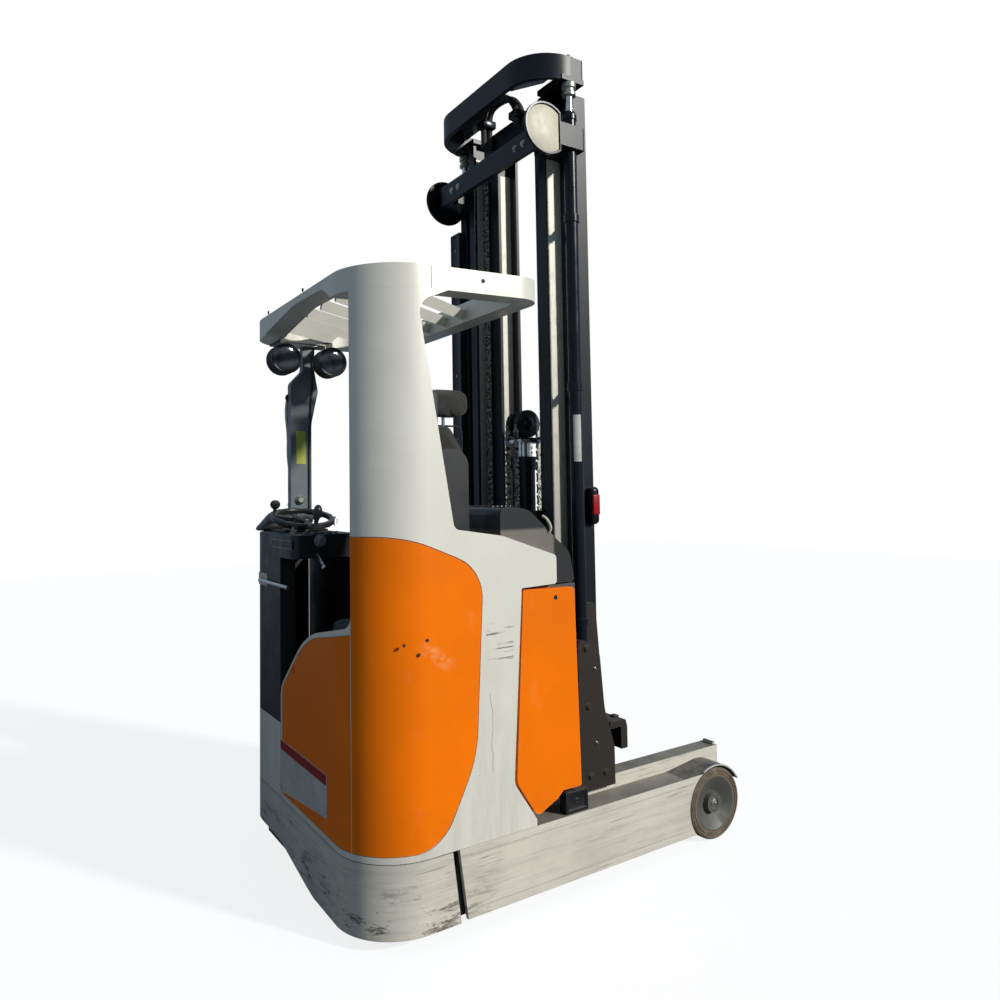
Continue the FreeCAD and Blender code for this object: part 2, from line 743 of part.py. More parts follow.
def chassis_frame():
    """Bottom pan, turret plate, bulkhead and battery tray, welded as one."""
    body = new_body("chassis_frame")
    wall = s.frame_plate
    web = rail_face - s.rail_web - s.seat_gap
    between = rail_tip - s.seat_gap
    outer = s.half_width - s.shell_wall - s.seam
    over = s.rail_top + s.seat_gap
    front = s.battery_rear + s.battery_length
    pad(body, "XY_Plane", s.pan_low, s.pan_low + wall,
        box_loop(s.pan_rear, s.bulkhead_front, -web, web))
    skirt_seat = s.half_width - s.corner_radius - s.corner_relief
    pad(body, "XY_Plane", s.pan_low, s.pan_low + wall,
        box_loop(s.skirt_wall + s.seat_gap, s.pan_rear + 1, -skirt_seat, skirt_seat))
    seat = outer - s.hood_wall - s.seat_gap
    pad(body, "YZ_Plane", s.bulkhead_front - wall, s.bulkhead_front,
        [(-between, s.pan_low), (between, s.pan_low), (between, over), (outer, over),
         (outer, s.bulkhead_top), (seat, s.bulkhead_top), (seat, s.bulkhead_seat),
         (-seat, s.bulkhead_seat), (-seat, s.bulkhead_top), (-outer, s.bulkhead_top),
         (-outer, over), (-between, over)])
    deck = turret_low + s.turret_plate
    reach = s.turret_radius + s.turret_margin
    for low in (s.drive_across + reach, s.drive_across - reach - wall):
        pad(body, "XZ_Plane", low, low + wall,
            box_loop(s.pan_rear, s.bulkhead_front - 1, s.pan_low + 1, deck))
    pad(body, "XY_Plane", turret_low, deck,
        box_loop(s.pan_rear, s.bulkhead_front - 1, s.drive_across - reach, s.drive_across + reach))
    centre = (s.drive_along, s.drive_across)
    pocket(body, "XY_Plane", turret_low - 2, deck + 2, (centre, s.turret_radius + s.seat_gap))
    pocket(body, "XY_Plane", s.pan_low - 5, s.pan_low + wall + 5,
           (centre, s.drive_wheel_radius + s.drive_swing))
    tray_top = s.battery_low - s.seat_gap
    pad(body, "XY_Plane", over, tray_top,
        box_loop(s.bulkhead_front - 2, front + 2, -battery_half, battery_half))
    pad(body, "YZ_Plane", front - wall, front,
        box_loop(-between, between, s.pan_low, over + 1))
    mouth = ((s.reach_across, s.reach_height), s.reach_tube_radius + s.seat_gap)
    pocket(body, "YZ_Plane", s.bulkhead_front - wall - 20, front + 2, mouth)
    node(body, "chassis_frame")


# ---------------------------------------------------------------- drive unit
def drive_unit():
    centre = (s.drive_along, s.drive_across)
    wheel = {"along": s.drive_along, "across": s.drive_across, "up": s.drive_wheel_radius}
    half = s.drive_wheel_width / 2
    edge = s.moving_gap + 3
    tyre = turned("drive_tyre", [
        (s.drive_rim_radius, -half), (s.drive_wheel_radius, -half, edge),
        (s.drive_wheel_radius, half, edge), (s.drive_rim_radius, half)])
    node(tyre, "drive_tyre", **wheel)
    dish = half - s.drive_rim_dish
    seat = s.seat_gap - half - s.moving_gap
    hub = turned("drive_hub", [
        (0, seat), (s.drive_stub_radius, seat), (s.drive_stub_radius, -half),
        (s.drive_rim_radius, -half), (s.drive_rim_radius, half),
        (s.drive_rim_radius - s.drive_rim_lip, half), (s.drive_rim_radius - s.drive_rim_lip - 10, dish),
        (s.drive_hub_radius + 8, dish), (s.drive_hub_radius, half - 4), (0, half - 4)])
    node(hub, "drive_hub", **wheel)
    turret = new_body("drive_turret")
    deck = turret_low + s.turret_plate
    motor_low = deck + s.moving_gap + 3
    pad(turret, "XY_Plane", turret_low - s.turret_flange, turret_low - s.seat_gap,
        (centre, s.turret_radius + s.turret_collar))
    pad(turret, "XY_Plane", turret_low - 1, motor_low, (centre, s.turret_radius))
    arm = s.drive_across - half - s.moving_gap
    wide, low = s.fork_arm_half, s.drive_wheel_radius
    pad(turret, "XZ_Plane", arm - s.fork_arm_wall, arm,
        [(s.drive_along - wide, turret_low - 10), (s.drive_along - wide, low, 55),
         (s.drive_along - 30, low - wide, 30), (s.drive_along + 30, low - wide, 30),
         (s.drive_along + wide, low, 55), (s.drive_along + wide, turret_low - 10)])
    node(turret, "drive_turret")
    motor = new_body("drive_motor")
    top = motor_low + s.motor_height
    pad(motor, "XY_Plane", motor_low, motor_low + s.motor_flange, (centre, s.motor_radius + 10))
    pad(motor, "XY_Plane", motor_low + s.motor_flange - 1, top, (centre, s.motor_radius))
    pad(motor, "XY_Plane", top - 1, top + s.motor_brake, (centre, s.motor_radius - 30))
    node(motor, "drive_motor")


# ---------------------------------------------------------------- battery
def battery():
    front = s.battery_rear + s.battery_length
    node(block("battery_block", (s.battery_rear, front),
               (-battery_half, battery_half),
               (s.battery_low, s.battery_low + s.battery_height)),
         "battery_block", s.battery_rear, -battery_half, s.battery_low)
    hood = new_body("battery_hood")
    low = s.battery_low + s.battery_height + s.hood_lift
    half = s.half_width - s.shell_wall - s.seam
    rear = s.bulkhead_front - s.frame_plate - s.hood_overlap
    wall = s.hood_wall
    ridge = rear + s.hood_ridge
    pad(hood, "XZ_Plane", -half, half,
        [(rear, low), (rear, s.hood_rear_top, 30), (ridge, s.hood_rear_top - 14, 90),
         (front - 20, s.hood_front_top, 50), (front, low)])
    pocket(hood, "XZ_Plane", wall - half, half - wall,
           [(rear + wall, low - 5), (rear + wall, s.hood_rear_top - wall, 22),
            (ridge - 2, s.hood_rear_top - 14 - wall, 82),
            (front - 26 - wall, s.hood_front_top - wall, 42), (front - wall, low - 5)])
    node(hood, "battery_hood")
    for name, side in SIDES:
        battery_cover(name, side)


def battery_cover(name, side):
    """The tall side cover of the battery, notched over the leg."""
    cover = new_body(name + "_battery_cover")
    low, high = side_span(side, battery_half + s.seat_gap, s.half_width)
    pad(cover, "XZ_Plane", low, high,
        [(s.cover_rear, s.cover_top, 8), (s.cover_front - 15, s.cover_top - 6, 14),
         (s.cover_front, s.cover_notch_up, 6), (s.cover_notch, s.cover_notch_up, 6),
         (s.cover_notch - 24, s.cover_notch_up - 22, 10), (s.cover_heel, s.cover_foot, 22),
         (s.cover_waist, s.cover_waist_up, 60)])
    pocket(cover, "XZ_Plane", low - 1, high + 1,
           ((s.cover_lock_along, s.cover_lock_up), s.cover_lock_radius))
    node(cover, name + "_battery_cover")


# ---------------------------------------------------------------- body covers
FAR = 3000.0
BLADES = 10


def side_keep(body, loop):
    pocket(body, "XZ_Plane", -s.half_width - 50, s.half_width + 50,
           box_loop(-FAR, FAR, -FAR, FAR), loop)


def guard_under(along):
    """Underside of the overhead guard, which rises towards the front."""
    return s.guard_low + s.guard_rise * along


def right_shell():
    """Silver side and broad column, wrapped round the rear right corner."""
    body = new_body("shell_blank")
    end = s.rear_cover_end + s.seam * 4
    high = s.guard_low + 200
    crown = guard_under(s.column_crown) - s.seat_gap
    pad(body, "XY_Plane", s.leg_top + s.seat_gap, high,
        corner_loop(-1, 0, s.half_width, 800, end, s.corner_radius, s.shell_wall))
    side_keep(body, [
        (-60, 0), (s.side_seam_low, 0), (s.side_seam_low, s.cover_low, 20),
        (s.side_seam_waist, s.cover_waist_up, 60), (s.side_seam_top, s.beak_low - 5, 6),
        (s.beak_front, s.beak_low, 12), (s.beak_front, s.waist_front, 16),
        (s.waist_bend, s.waist_bend_up, 150), (s.column_front, s.waist_rear, 26),
        (s.column_neck, s.guard_low - 40, 60), (s.column_crown, crown),
        (-60, guard_under(-60) - s.seat_gap)])
    top = s.rear_cover_top
    bend = s.rear_cover_bend
    pocket(body, "YZ_Plane", -20, s.corner_radius + 20,
           [(s.column_seam, high + 10), (s.column_seam, top + 24, 40), (bend, top - 45, 500),
            (end, s.rear_cover_step, 90), (end + 1, 200), (s.half_width, 200),
            (s.half_width, high + 10)])
    return body


def side_panel_loop(grow):
    """Edge of the right side panel, made larger by grow."""
    return [(-60, s.cover_low - grow), (s.side_panel_foot + grow, s.cover_low - grow, 150),
            (s.side_panel_bend + grow, s.side_panel_bend_up, 400),
            (s.side_panel_front + grow, s.side_panel_front_up + grow, 150),
            (s.column_neck - 55, s.side_panel_top + grow, 500), (-60, s.side_panel_top + 1 + grow)]


def rear_panel_loop(grow, edge):
    """Edge of the rear panel, made larger by grow on its free sides."""
    side = s.rear_cover_end - s.seam * 2 + grow
    return [(edge, s.cover_low - grow), (side, s.cover_low - grow, 8),
            (side, s.rear_cover_step + grow, 70),
            (s.rear_cover_bend, s.rear_cover_top - s.rear_cover_drop + grow, 480),
            (edge, s.rear_cover_top + grow)]


def corner_skin(name, outset, depth):
    """A skin of the rear right corner, grown outwards by outset."""
    body = new_body(name)
    pad(body, "XY_Plane", s.cover_low - 40, s.side_panel_top + 98,
        corner_loop(-1, -size(outset), s.half_width + outset, s.side_seam_low + 52,
                    s.rear_cover_end + 30, s.corner_radius + outset, size(depth) + outset))
    return body


def side_skin(name, outset, depth, grow, edge):
    body = corner_skin(name, outset, depth)
    side_keep(body, side_panel_loop(grow))
    pocket(body, "YZ_Plane", -10, s.corner_radius,
           box_loop(edge, s.half_width, 0, s.side_panel_top + 198))
    return body


def rear_skin(name, outset, depth, grow, edge):
    body = corner_skin(name, outset, depth)
    pocket(body, "YZ_Plane", -60, s.beak_front + 5, box_loop(-FAR, FAR, -FAR, FAR),
           rear_panel_loop(grow, edge))
    return body


def right_panels():
    """The shell with its side and rear panels let into it."""
    depth = s.panel_depth
    recess = depth + s.seat_gap
    edge = s.column_seam + s.seam
    side = side_skin("right_side_panel", 0, depth, 0, s.column_seam)
    node(side, "right_side_panel")
    rear = rear_skin("rear_panel", 0, depth, 0, edge)
    pocket(rear, "YZ_Plane", -5, depth + 5, ((s.grip_across, s.grip_up), s.grip_radius))
    node(rear, "rear_panel")
    side_recess = side_skin("side_recess", 5, recess, s.seam, s.column_seam + s.seat_gap)
    rear_recess = rear_skin("rear_recess", 5, recess, s.seam, edge - 1)
    node(cut("right_body_shell", right_shell(), side_recess, rear_recess), "right_body_shell")


def left_covers():
    """Low cover round the rear left corner, the floor and the shell over the battery."""
    body = new_body("rear_left_cover")
    cover_end = s.rear_cover_end + s.seam * 6
    pad(body, "XY_Plane", s.leg_top + s.seat_gap, s.sill_top,
        corner_loop(1, 0, s.half_width, s.entry_rear, cover_end, s.corner_radius, s.sill_wall))
    node(body, "rear_left_cover")
    shell = new_body("left_body_shell")
    low, high = side_span(1, s.half_width - s.shell_wall, s.half_width)
    rear = s.left_shell_rear
    pad(shell, "XZ_Plane", low, high,
        [(rear, s.leg_top + s.seat_gap), (s.side_seam_low, s.leg_top + s.seat_gap),
         (s.side_seam_low, s.cover_low, 20), (s.side_seam_waist, s.cover_waist_up, 30),
         (s.side_seam_top, s.beak_low - 5, 6), (s.beak_front, s.beak_low, 12),
         (s.beak_front, s.waist_front, 16), (s.waist_bend, s.waist_bend_up, 60),
         (rear, s.waist_bend_up + 2)])
    node(shell, "left_body_shell")
    step = new_body("operator_floor")
    inner = s.drive_across + s.turret_radius + s.turret_margin + s.frame_plate + s.seam
    front = s.bulkhead_front - s.frame_plate - s.seat_gap
    side = s.half_width - 4
    sill = s.half_width - s.sill_wall - s.seat_gap
    rear = s.shell_wall + s.seat_gap
    pad(step, "XY_Plane", floor_top - s.step_plate, floor_top,
        [(rear, inner), (front, inner), (front, side - s.shell_wall, 14),
         (s.left_shell_rear - s.seam, side - s.shell_wall, 4), (s.left_shell_rear - s.seam, side, 14),
         (s.entry_rear + 6, side, 14), (s.entry_rear + 6, sill),
         (s.corner_radius + 5, sill), (rear, s.half_width - s.corner_radius)])
    node(step, "operator_floor")


# ---------------------------------------------------------------- overhead guard
def guard_plan(inset, front_radius):
    """The guard's outline seen from above, moved inwards by inset."""
    inset = size(inset)
    side = s.half_width - inset
    front = s.guard_front - inset
    radius = s.corner_radius - inset
    return [(inset, -side, radius), (front, -side, front_radius),
            (front, side, front_radius), (inset, side, radius)]


def guard_trim(body, lift_low, lift_high):
    """Cut the ring's flat blank to the guard's rising underside and top."""
    front = s.guard_front + 20
    side_keep(body, [(-20, guard_under(-20) + lift_low), (front, guard_under(front) + lift_low),
                     (front, guard_under(front) + lift_high), (-20, guard_under(-20) + lift_high)])


def overhead_guard():
    blank_low, blank_high = s.guard_low - 10, s.guard_low + s.guard_beam + 40
    wide = s.guard_width
    frame = new_body("guard_ring")
    pad(frame, "XY_Plane", blank_low, blank_high,
        guard_plan(0, s.guard_front_radius), guard_plan(wide, 40))
    guard_trim(frame, 0, s.guard_beam)
    half, low = s.guard_arch_half, s.guard_low
    pocket(frame, "YZ_Plane", -10, wide + 10,
           [(-half, low - 20), (-half, low + 4, 20), (-half + 80, low + s.guard_arch, 60),
            (0, low + s.guard_arch + 6, 300), (half, low + 4, 60), (half, low - 20)])
    blades = [guard_blade(step) for step in range(BLADES)]
    inside = new_body("guard_inside")
    pad(inside, "XY_Plane", blank_low, blank_high, guard_plan(wide - 3, 43))
    guard_trim(inside, 8, s.guard_beam - 4)
    trimmed = common("guard_blades", fuse("guard_blade_set", *blades), inside)
    node(fuse("overhead_guard", frame, trimmed), "overhead_guard")


def guard_blade(step):
    """One slanted slat, long enough to cross the whole guard."""
    slat = doc.addObject("Part::Box", "guard_blade")
    bind(slat, "Length", s.guard_front * 3)
    bind(slat, "Width", s.blade_wall)
    bind(slat, "Height", s.blade_height)
    lean = Rotation(Vector(0, 0, 1), s.blade_angle.value)
    slat.Placement = Placement(Vector(), lean * Rotation(Vector(1, 0, 0), s.blade_lean.value))
    place(slat, -s.guard_front, s.blade_first + s.blade_pitch * step, s.guard_low + 30)
    return slat


def guard_post():
    """The slim front post, necked in under the guard."""
    body = new_body("left_guard_post")
    half = s.post_wall / 2
    foot = s.dash_top + s.seat_gap
    gap = s.seat_gap
    pad(body, "XZ_Plane", post_across - half, post_across + half,
        [(s.post_rear, foot), (s.post_front, foot), (s.post_front, s.post_shoulder_up - 150, 200),
         (s.post_shoulder, s.post_shoulder_up, 30), (s.post_neck_front, s.post_neck_up, 40),
         (s.post_neck_front, guard_under(s.post_neck_front) - gap),
         (s.post_neck_rear, guard_under(s.post_neck_rear) - gap),
         (s.post_neck_rear, s.post_neck_up, 30), (s.post_rear, s.post_neck_up - 60, 30)])
    node(body, "left_guard_post")


# ---------------------------------------------------------------- operator's place
SPOKE_TURNS = (30, 150, 270)


def console():
    """Steering console round the rear left corner of the compartment."""
    body = new_body("console_body")
    half = s.half_width
    low = s.sill_top + s.seat_gap
    end = s.rear_cover_end + s.seam * 5
    front = s.dash_front
    pad(body, "XY_Plane", low, s.dash_top,
        corner_loop(1, 0, half, front, end, s.corner_radius, s.console_wall))
    pad(body, "XY_Plane", s.dash_top - s.dash_height, s.dash_top,
        [(0, s.dash_end, 30), (front, s.dash_end, 40), (front, half, 30), (0, half, s.corner_radius)])
    tilt = Rotation(Vector(1, 0, 0), s.steering_tilt.value)
    foot = s.dash_top - s.steering_up - 30
    collar = -s.steering_stub
    hub = s.column_radius
    column = turned("steering_column", [(0, foot), (hub, foot), (hub, collar), (0, collar)],
                    along_y=False)
    column.Placement = Placement(Vector(), tilt)
    place(column, s.steering_along, s.steering_across, s.steering_up)
    node(fuse("steering_console", body, column), "steering_console")
    wheel = steering_wheel(collar + s.seat_gap)
    wheel.Placement = Placement(Vector(), tilt)
    node(wheel, "steering_wheel", s.steering_along, s.steering_across, s.steering_up)


def steering_wheel(low):
    """Hub, three spokes and a round rim, level and centred on the origin."""
    grip, rim, hub = s.steering_grip, s.steering_radius, s.column_radius
    wheel = turned("steering_wheel", [
        (0, low), (hub - 4, low), (hub + 8, -grip, 6), (hub + 8, 6, 6), (hub - 6, 14, 4), (0, 14)],
        along_y=False)
    half = s.steering_spoke / 2
    for turn in SPOKE_TURNS:
        out_x, out_y = math.cos(math.radians(turn)), math.sin(math.radians(turn))
        corners = ((hub, -half), (rim - grip, -half), (rim - grip, half), (hub, half))
        pad(wheel, "XY_Plane", s.steering_spoke_low, s.steering_spoke_high,
            [(reach * out_x - aside * out_y, reach * out_y + aside * out_x)
             for reach, aside in corners])
    add_turned(wheel, box_loop(rim - grip * 2, rim, -grip, grip, 9), along_y=False)
    return wheel


def seat():
    """Seat facing the left side, on a pod over the drive unit."""
    along, across = s.seat_along, s.seat_across
    half = s.seat_width / 2
    front = across + s.seat_depth / 2
    rear = across - s.seat_depth / 2
    pod = new_body("seat_pod")
    deck = turret_low + s.turret_plate
    top = deck + s.motor_height + s.motor_brake + s.moving_gap * 5
    end = s.bulkhead_front - s.frame_plate - 2
    wall = s.hood_wall
    pod_front = s.drive_across + s.turret_radius + s.moving_gap + wall
    pod_rear = rear - 20
    pad(pod, "XY_Plane", deck + s.seat_gap, top, box_loop(s.pan_rear, end, pod_rear, pod_front, 40))
    pocket(pod, "XY_Plane", deck - 5, top - wall,
           box_loop(s.pan_rear + wall, end - wall, pod_rear + wall, pod_front - wall, 30))
    pad(pod, "XY_Plane", top - 1, s.seat_height - s.cushion - s.seat_gap,
        box_loop(along - half + 30, along + half - 30, rear + 10, front - 40, 30))
    node(pod, "seat_pod")
    cushion = new_body("seat_cushion")
    pad(cushion, "XY_Plane", s.seat_height - s.cushion, s.seat_height,
        box_loop(along - half, along + half, rear + 40, front, 50))
    node(cushion, "seat_cushion")
    backrest(along, rear)
    arm = new_body("armrest_console")
    hood = s.bulkhead_front - s.frame_plate - s.hood_overlap - s.seat_gap
    pad(arm, "XZ_Plane", across - 60, across - 60 + s.armrest_length,
        box_loop(hood - s.armrest_width, hood, s.armrest_low, s.armrest_high, 12))
    node(arm, "armrest_console")


def backrest(along, rear):
    """Waisted backrest with its shell, and the headrest on a flat stalk."""
    back = new_body("seat_backrest")
    low = s.seat_height + 6
    face = rear + 36
    behind = face - s.backrest_depth
    half, waist, wide, top = (s.backrest_half, s.backrest_waist_half, s.backrest_wide_half,
                              s.backrest_top_half)
    right = [(along + half, low, 40), (along + waist, s.backrest_waist_up, 200),
             (along + wide, s.backrest_wide_up, 70), (along + top, s.backrest_top, 40)]
    left = [(along * 2 - corner[0],) + corner[1:] for corner in reversed(right)]
    pad(back, "XZ_Plane", behind, face, right + left)
    node(back, "seat_backrest")
    shell = new_body("seat_back_shell")
    shell_face = behind - s.seat_gap
    shell_behind = shell_face - s.back_shell_wall
    pad(shell, "XZ_Plane", shell_behind, shell_face,
        box_loop(along - waist + 8, along + waist - 8, s.seat_height - s.cushion - 80,
                 s.backrest_wide_up + 40, 60))
    pad(shell, "XZ_Plane", shell_behind, shell_face - 9,
        box_loop(along - 20, along + 20, s.backrest_wide_up, s.headrest_centre + 30, 8))
    foot = s.seat_height - s.cushion - s.seat_gap
    pad(shell, "XY_Plane", foot - 36, foot - 10,
        box_loop(along - 60, along + 60, shell_behind + 1, rear + 10 - s.seat_gap))
    node(shell, "seat_back_shell")
    head = new_body("headrest")
    tall = s.headrest_height / 2
    head_behind = shell_face - 9 + s.seat_gap
    pad(head, "XZ_Plane", head_behind, head_behind + s.headrest_depth,
        box_loop(along - s.headrest_half, along + s.headrest_half, s.headrest_centre - tall,
                 s.headrest_centre + tall, 40))
    node(head, "headrest")


def pedals():
    """Floor plate with two pedals, hinged at their near edge."""
    body = new_body("pedal_plate")
    floor = floor_top + s.seat_gap
    rear = s.entry_rear + s.pedal_plate_rear
    front = rear + s.pedal_plate_length
    near, far, half = s.pedal_plate_near, s.pedal_plate_far, s.pedal_half
    pad(body, "XY_Plane", floor, floor + s.pedal_plate_wall, box_loop(rear, front, near, far, 12))
    foot = floor + s.pedal_plate_wall - 1
    margin = half + 12
    for along in (rear + margin, front - margin):
        pad(body, "XZ_Plane", near + s.pedal_inset, far - s.pedal_inset,
            [(along - half, foot), (along + half, foot), (along + half, floor + s.pedal_heel, 5),
             (along - half, floor + s.pedal_toe, 5)])
    node(body, "pedal_plate")


def lamps():
    """Two round work lamps hung from the guard by flat hangers."""
    for name, along in (("rear_work_lamp", s.lamp_rear_along), ("front_work_lamp", s.lamp_front_along)):
        half, radius = s.lamp_depth / 2, s.lamp_radius
        lamp = new_body(name)
        add_turned(lamp, [(0, -half), (radius - 20, -half, 14), (radius, -half + 26, 12),
                          (radius, half, 3), (0, half)])
        hanger = guard_under(along - 15) - s.seat_gap - s.lamp_up
        strap, arm = s.hanger_wall, s.hanger_reach
        pad(lamp, "YZ_Plane", -15, 15,
            [(-strap, radius - 10), (strap, radius - 10), (strap, hanger - strap * 2),
             (arm, hanger - strap * 2), (arm, hanger), (-strap, hanger)])
        node(lamp, name, along, lamp_across, s.lamp_up)


# ---------------------------------------------------------------- mast
def channel(body, side, rear, depth, out, flange, wall, low, high):
    """One C-shaped rail, its open side towards the middle."""
    inner = size(out) - flange
    web = size(out) - wall
    front = size(rear) + depth
    corners = [(rear, out), (front, out), (front, inner), (front - wall, inner),
               (front - wall, web), (size(rear) + wall, web), (size(rear) + wall, inner),
               (rear, inner)]
    pad(body, "XY_Plane", low, high, [(along, size(across) * side) for along, across in corners])


def stage_rollers(body, rear, depth, out, face, low):
    """A pair of rollers on stubs from a stage's outer faces, in the channels round it."""
    centre = (size(rear) + depth / 2, low + s.stage_roller_up)
    radius = depth / 2 - s.rail_wall - s.roller_play
    far = out - s.rail_wall - s.moving_gap
    near = far - s.stage_roller_width
    for name, side in SIDES:
        stub = side_span(side, face - 1, near + 1)
        pad(body, "XZ_Plane", stub[0], stub[1], (centre, s.stage_stub_radius))
        roller = side_span(side, near, far)
        pad(body, "XZ_Plane", roller[0], roller[1], (centre, radius))


def outer_mast():
    body = new_body("outer_mast")
    out, tie_out = s.outer_out, s.outer_out - 10
    for name, side in SIDES:
        channel(body, side, s.outer_rear, s.outer_depth, out, s.outer_flange, s.rail_wall,
                s.mast_low, s.mast_top)
    pad(body, "XY_Plane", s.mast_low, s.mast_low + s.cross_height,
        box_loop(s.cross_rear, s.cross_rear + s.cross_wall, -out, out))
    for name, side in SIDES:
        low, high = side_span(side, out - s.outer_flange, out)
        for bottom, tall in ((s.mast_low, s.cross_height), (tie_low, s.tie_height)):
            pad(body, "XZ_Plane", low, high,
                box_loop(s.cross_rear, s.outer_rear + s.rail_wall, bottom, bottom + tall))
    low, high = tie_low, tie_low + s.tie_height
    reach = s.lift_across + s.lift_tube_radius + s.rail_wall
    front, rear = s.outer_rear + 20, s.tie_rear + s.tie_wall
    pad(body, "XY_Plane", low, high,
        [(front, tie_out), (front, reach, 12), (s.tie_rear, reach, s.tie_radius),
         (s.tie_rear, -reach, s.tie_radius), (front, -reach, 12), (front, -tie_out),
         (rear, -tie_out, 20), (rear, tie_out, 20)])
    for name, side in SIDES:
        pocket(body, "XY_Plane", low - 2, high + 2,
               ((s.lift_along, s.lift_across * side), s.lift_tube_radius + s.seat_gap))
    node(body, "outer_mast")


def middle_mast():
    body = new_body("middle_mast")
    wall, rear = s.rail_wall, s.middle_rear
    for name, side in SIDES:
        channel(body, side, rear, s.middle_depth, middle_out, s.middle_flange, wall,
                s.mast_low + s.stage_step, s.mast_top - s.stage_step / 2)
    half, plate, round_in = s.bow_half_width, s.bow_plate, s.bow_radius - s.bow_plate
    low, high = bow_low, bow_low + s.bow_height
    front, back = rear + s.middle_depth, s.bow_rear + s.bow_plate
    pad(body, "XY_Plane", low, high,
        [(front, half, s.bow_end_radius), (s.bow_rear, half, s.bow_radius),
         (s.bow_rear, -half, s.bow_radius), (front, -half, s.bow_end_radius),
         (front, plate - half), (back, plate - half, round_in), (back, half - plate, round_in),
         (front, half - plate)])
    for name, side in SIDES:
        across = side_span(side, middle_out - s.middle_flange, half)
        pad(body, "XY_Plane", low, low + 22, box_loop(rear, front, across[0], across[1]))
        web = side_span(side, middle_out - wall, middle_out)
        pad(body, "XY_Plane", s.mast_top - s.stage_step / 2 - 1, low + 1,
            box_loop(rear, front, web[0], web[1]))
    bottom = s.mast_low + s.stage_step
    pad(body, "XY_Plane", bottom + 10, bottom + 100,
        box_loop(rear - s.cross_wall, rear + 1, -middle_out, middle_out))
    stage_rollers(body, s.outer_rear, s.outer_depth, s.outer_out, middle_out, bottom)
    node(body, "middle_mast")


def inner_mast():
    body = new_body("inner_mast")
    low, rear, out = s.mast_low + s.stage_step * 2, s.inner_rear, inner_out
    for name, side in SIDES:
        channel(body, side, rear, s.inner_depth, out, s.inner_flange, s.rail_wall,
                low, s.mast_top - s.stage_step)
    behind = s.free_along - s.free_tube_radius - 1
    pad(body, "XY_Plane", low, low + s.foot_cross_wall,
        box_loop(behind, rear + s.inner_depth, s.rail_wall - out, out - s.rail_wall))
    tip = out - s.inner_flange
    for bottom, tall in ((s.middle_cross_low, s.middle_cross_height),
                         (s.mast_top - s.stage_step - s.top_cross_height, s.top_cross_height)):
        pad(body, "XY_Plane", bottom, bottom + tall,
            box_loop(behind - s.rail_wall, behind, -tip - s.cross_arm, tip + s.cross_arm))
        for name, side in SIDES:
            arm = side_span(side, tip + 2, tip + s.cross_arm)
            pad(body, "XY_Plane", bottom, bottom + tall,
                box_loop(behind - 1, rear + 1, arm[0], arm[1]))
    stage_rollers(body, s.middle_rear, s.middle_depth, middle_out, out, low)
    node(body, "inner_mast")


def lift_cylinders():
    """Main cylinders beside the mast, standing on the reach carriage's shelves."""
    foot = shelf_top + s.seat_gap
    for name, side in SIDES:
        centre = (s.lift_along, s.lift_across * side)
        tube = new_body(name + "_lift_cylinder")
        pad(tube, "XY_Plane", foot, lift_tube_top, (centre, s.lift_tube_radius))
        pocket(tube, "XY_Plane", foot + s.tube_floor, lift_tube_top + 2,
               (centre, s.lift_rod_radius + s.pin_fit))
        node(tube, name + "_lift_cylinder")
        piston = new_body(name + "_lift_rod")
        pad(piston, "XY_Plane", foot + s.tube_floor + s.moving_gap, bow_low - s.seat_gap,
            (centre, s.lift_rod_radius))
        node(piston, name + "_lift_rod")


def free_lift():
    """Free-lift cylinder, and its rod with the crosshead and the chain pulleys."""
    centre = (s.free_along, 0)
    low = s.mast_low + s.stage_step * 2 + s.foot_cross_wall + s.seat_gap
    top = s.free_tube_top
    tube = new_body("free_lift_cylinder")
    pad(tube, "XY_Plane", low, top, (centre, s.free_tube_radius))
    pad(tube, "XY_Plane", top - s.free_collar_height, top - 1, (centre, s.free_collar_radius))
    pocket(tube, "XY_Plane", low + s.tube_floor, top + 2, (centre, s.free_rod_radius + s.pin_fit))
    node(tube, "free_lift_cylinder")
    base = top + s.head_rise
    axle = base + s.pulley_radius + s.head_height + 2
    head = s.head_half
    piston = new_body("free_lift_piston")
    pad(piston, "XY_Plane", low + s.tube_floor + s.moving_gap, base + 1, (centre, s.free_rod_radius))
    pad(piston, "XY_Plane", base, base + s.head_height,
        box_loop(s.free_along - head, s.free_along + head, -head - 4, head + 4, 10))
    pad(piston, "YZ_Plane", s.free_along - 14, s.free_along + 14,
        [(-s.pulley_inner, base + 20), (s.pulley_inner, base + 20),
         (s.pulley_inner, axle + 24, 18), (-s.pulley_inner, axle + 24, 18)])
    pieces = [piston]
    half, radius = s.pulley_width / 2, s.pulley_radius
    groove = radius - s.pulley_groove
    for name, side in SIDES:
        wheel = turned(name + "_chain_pulley", [
            (0, -half), (radius, -half), (radius, 5 - half), (groove, 9 - half),
            (groove, half - 9), (radius, half - 5), (radius, half), (0, half)])
        place(wheel, s.free_along, side * (s.pulley_inner + half), axle)
        pieces.append(wheel)
    node(fuse("free_lift_rod", *pieces), "free_lift_rod")


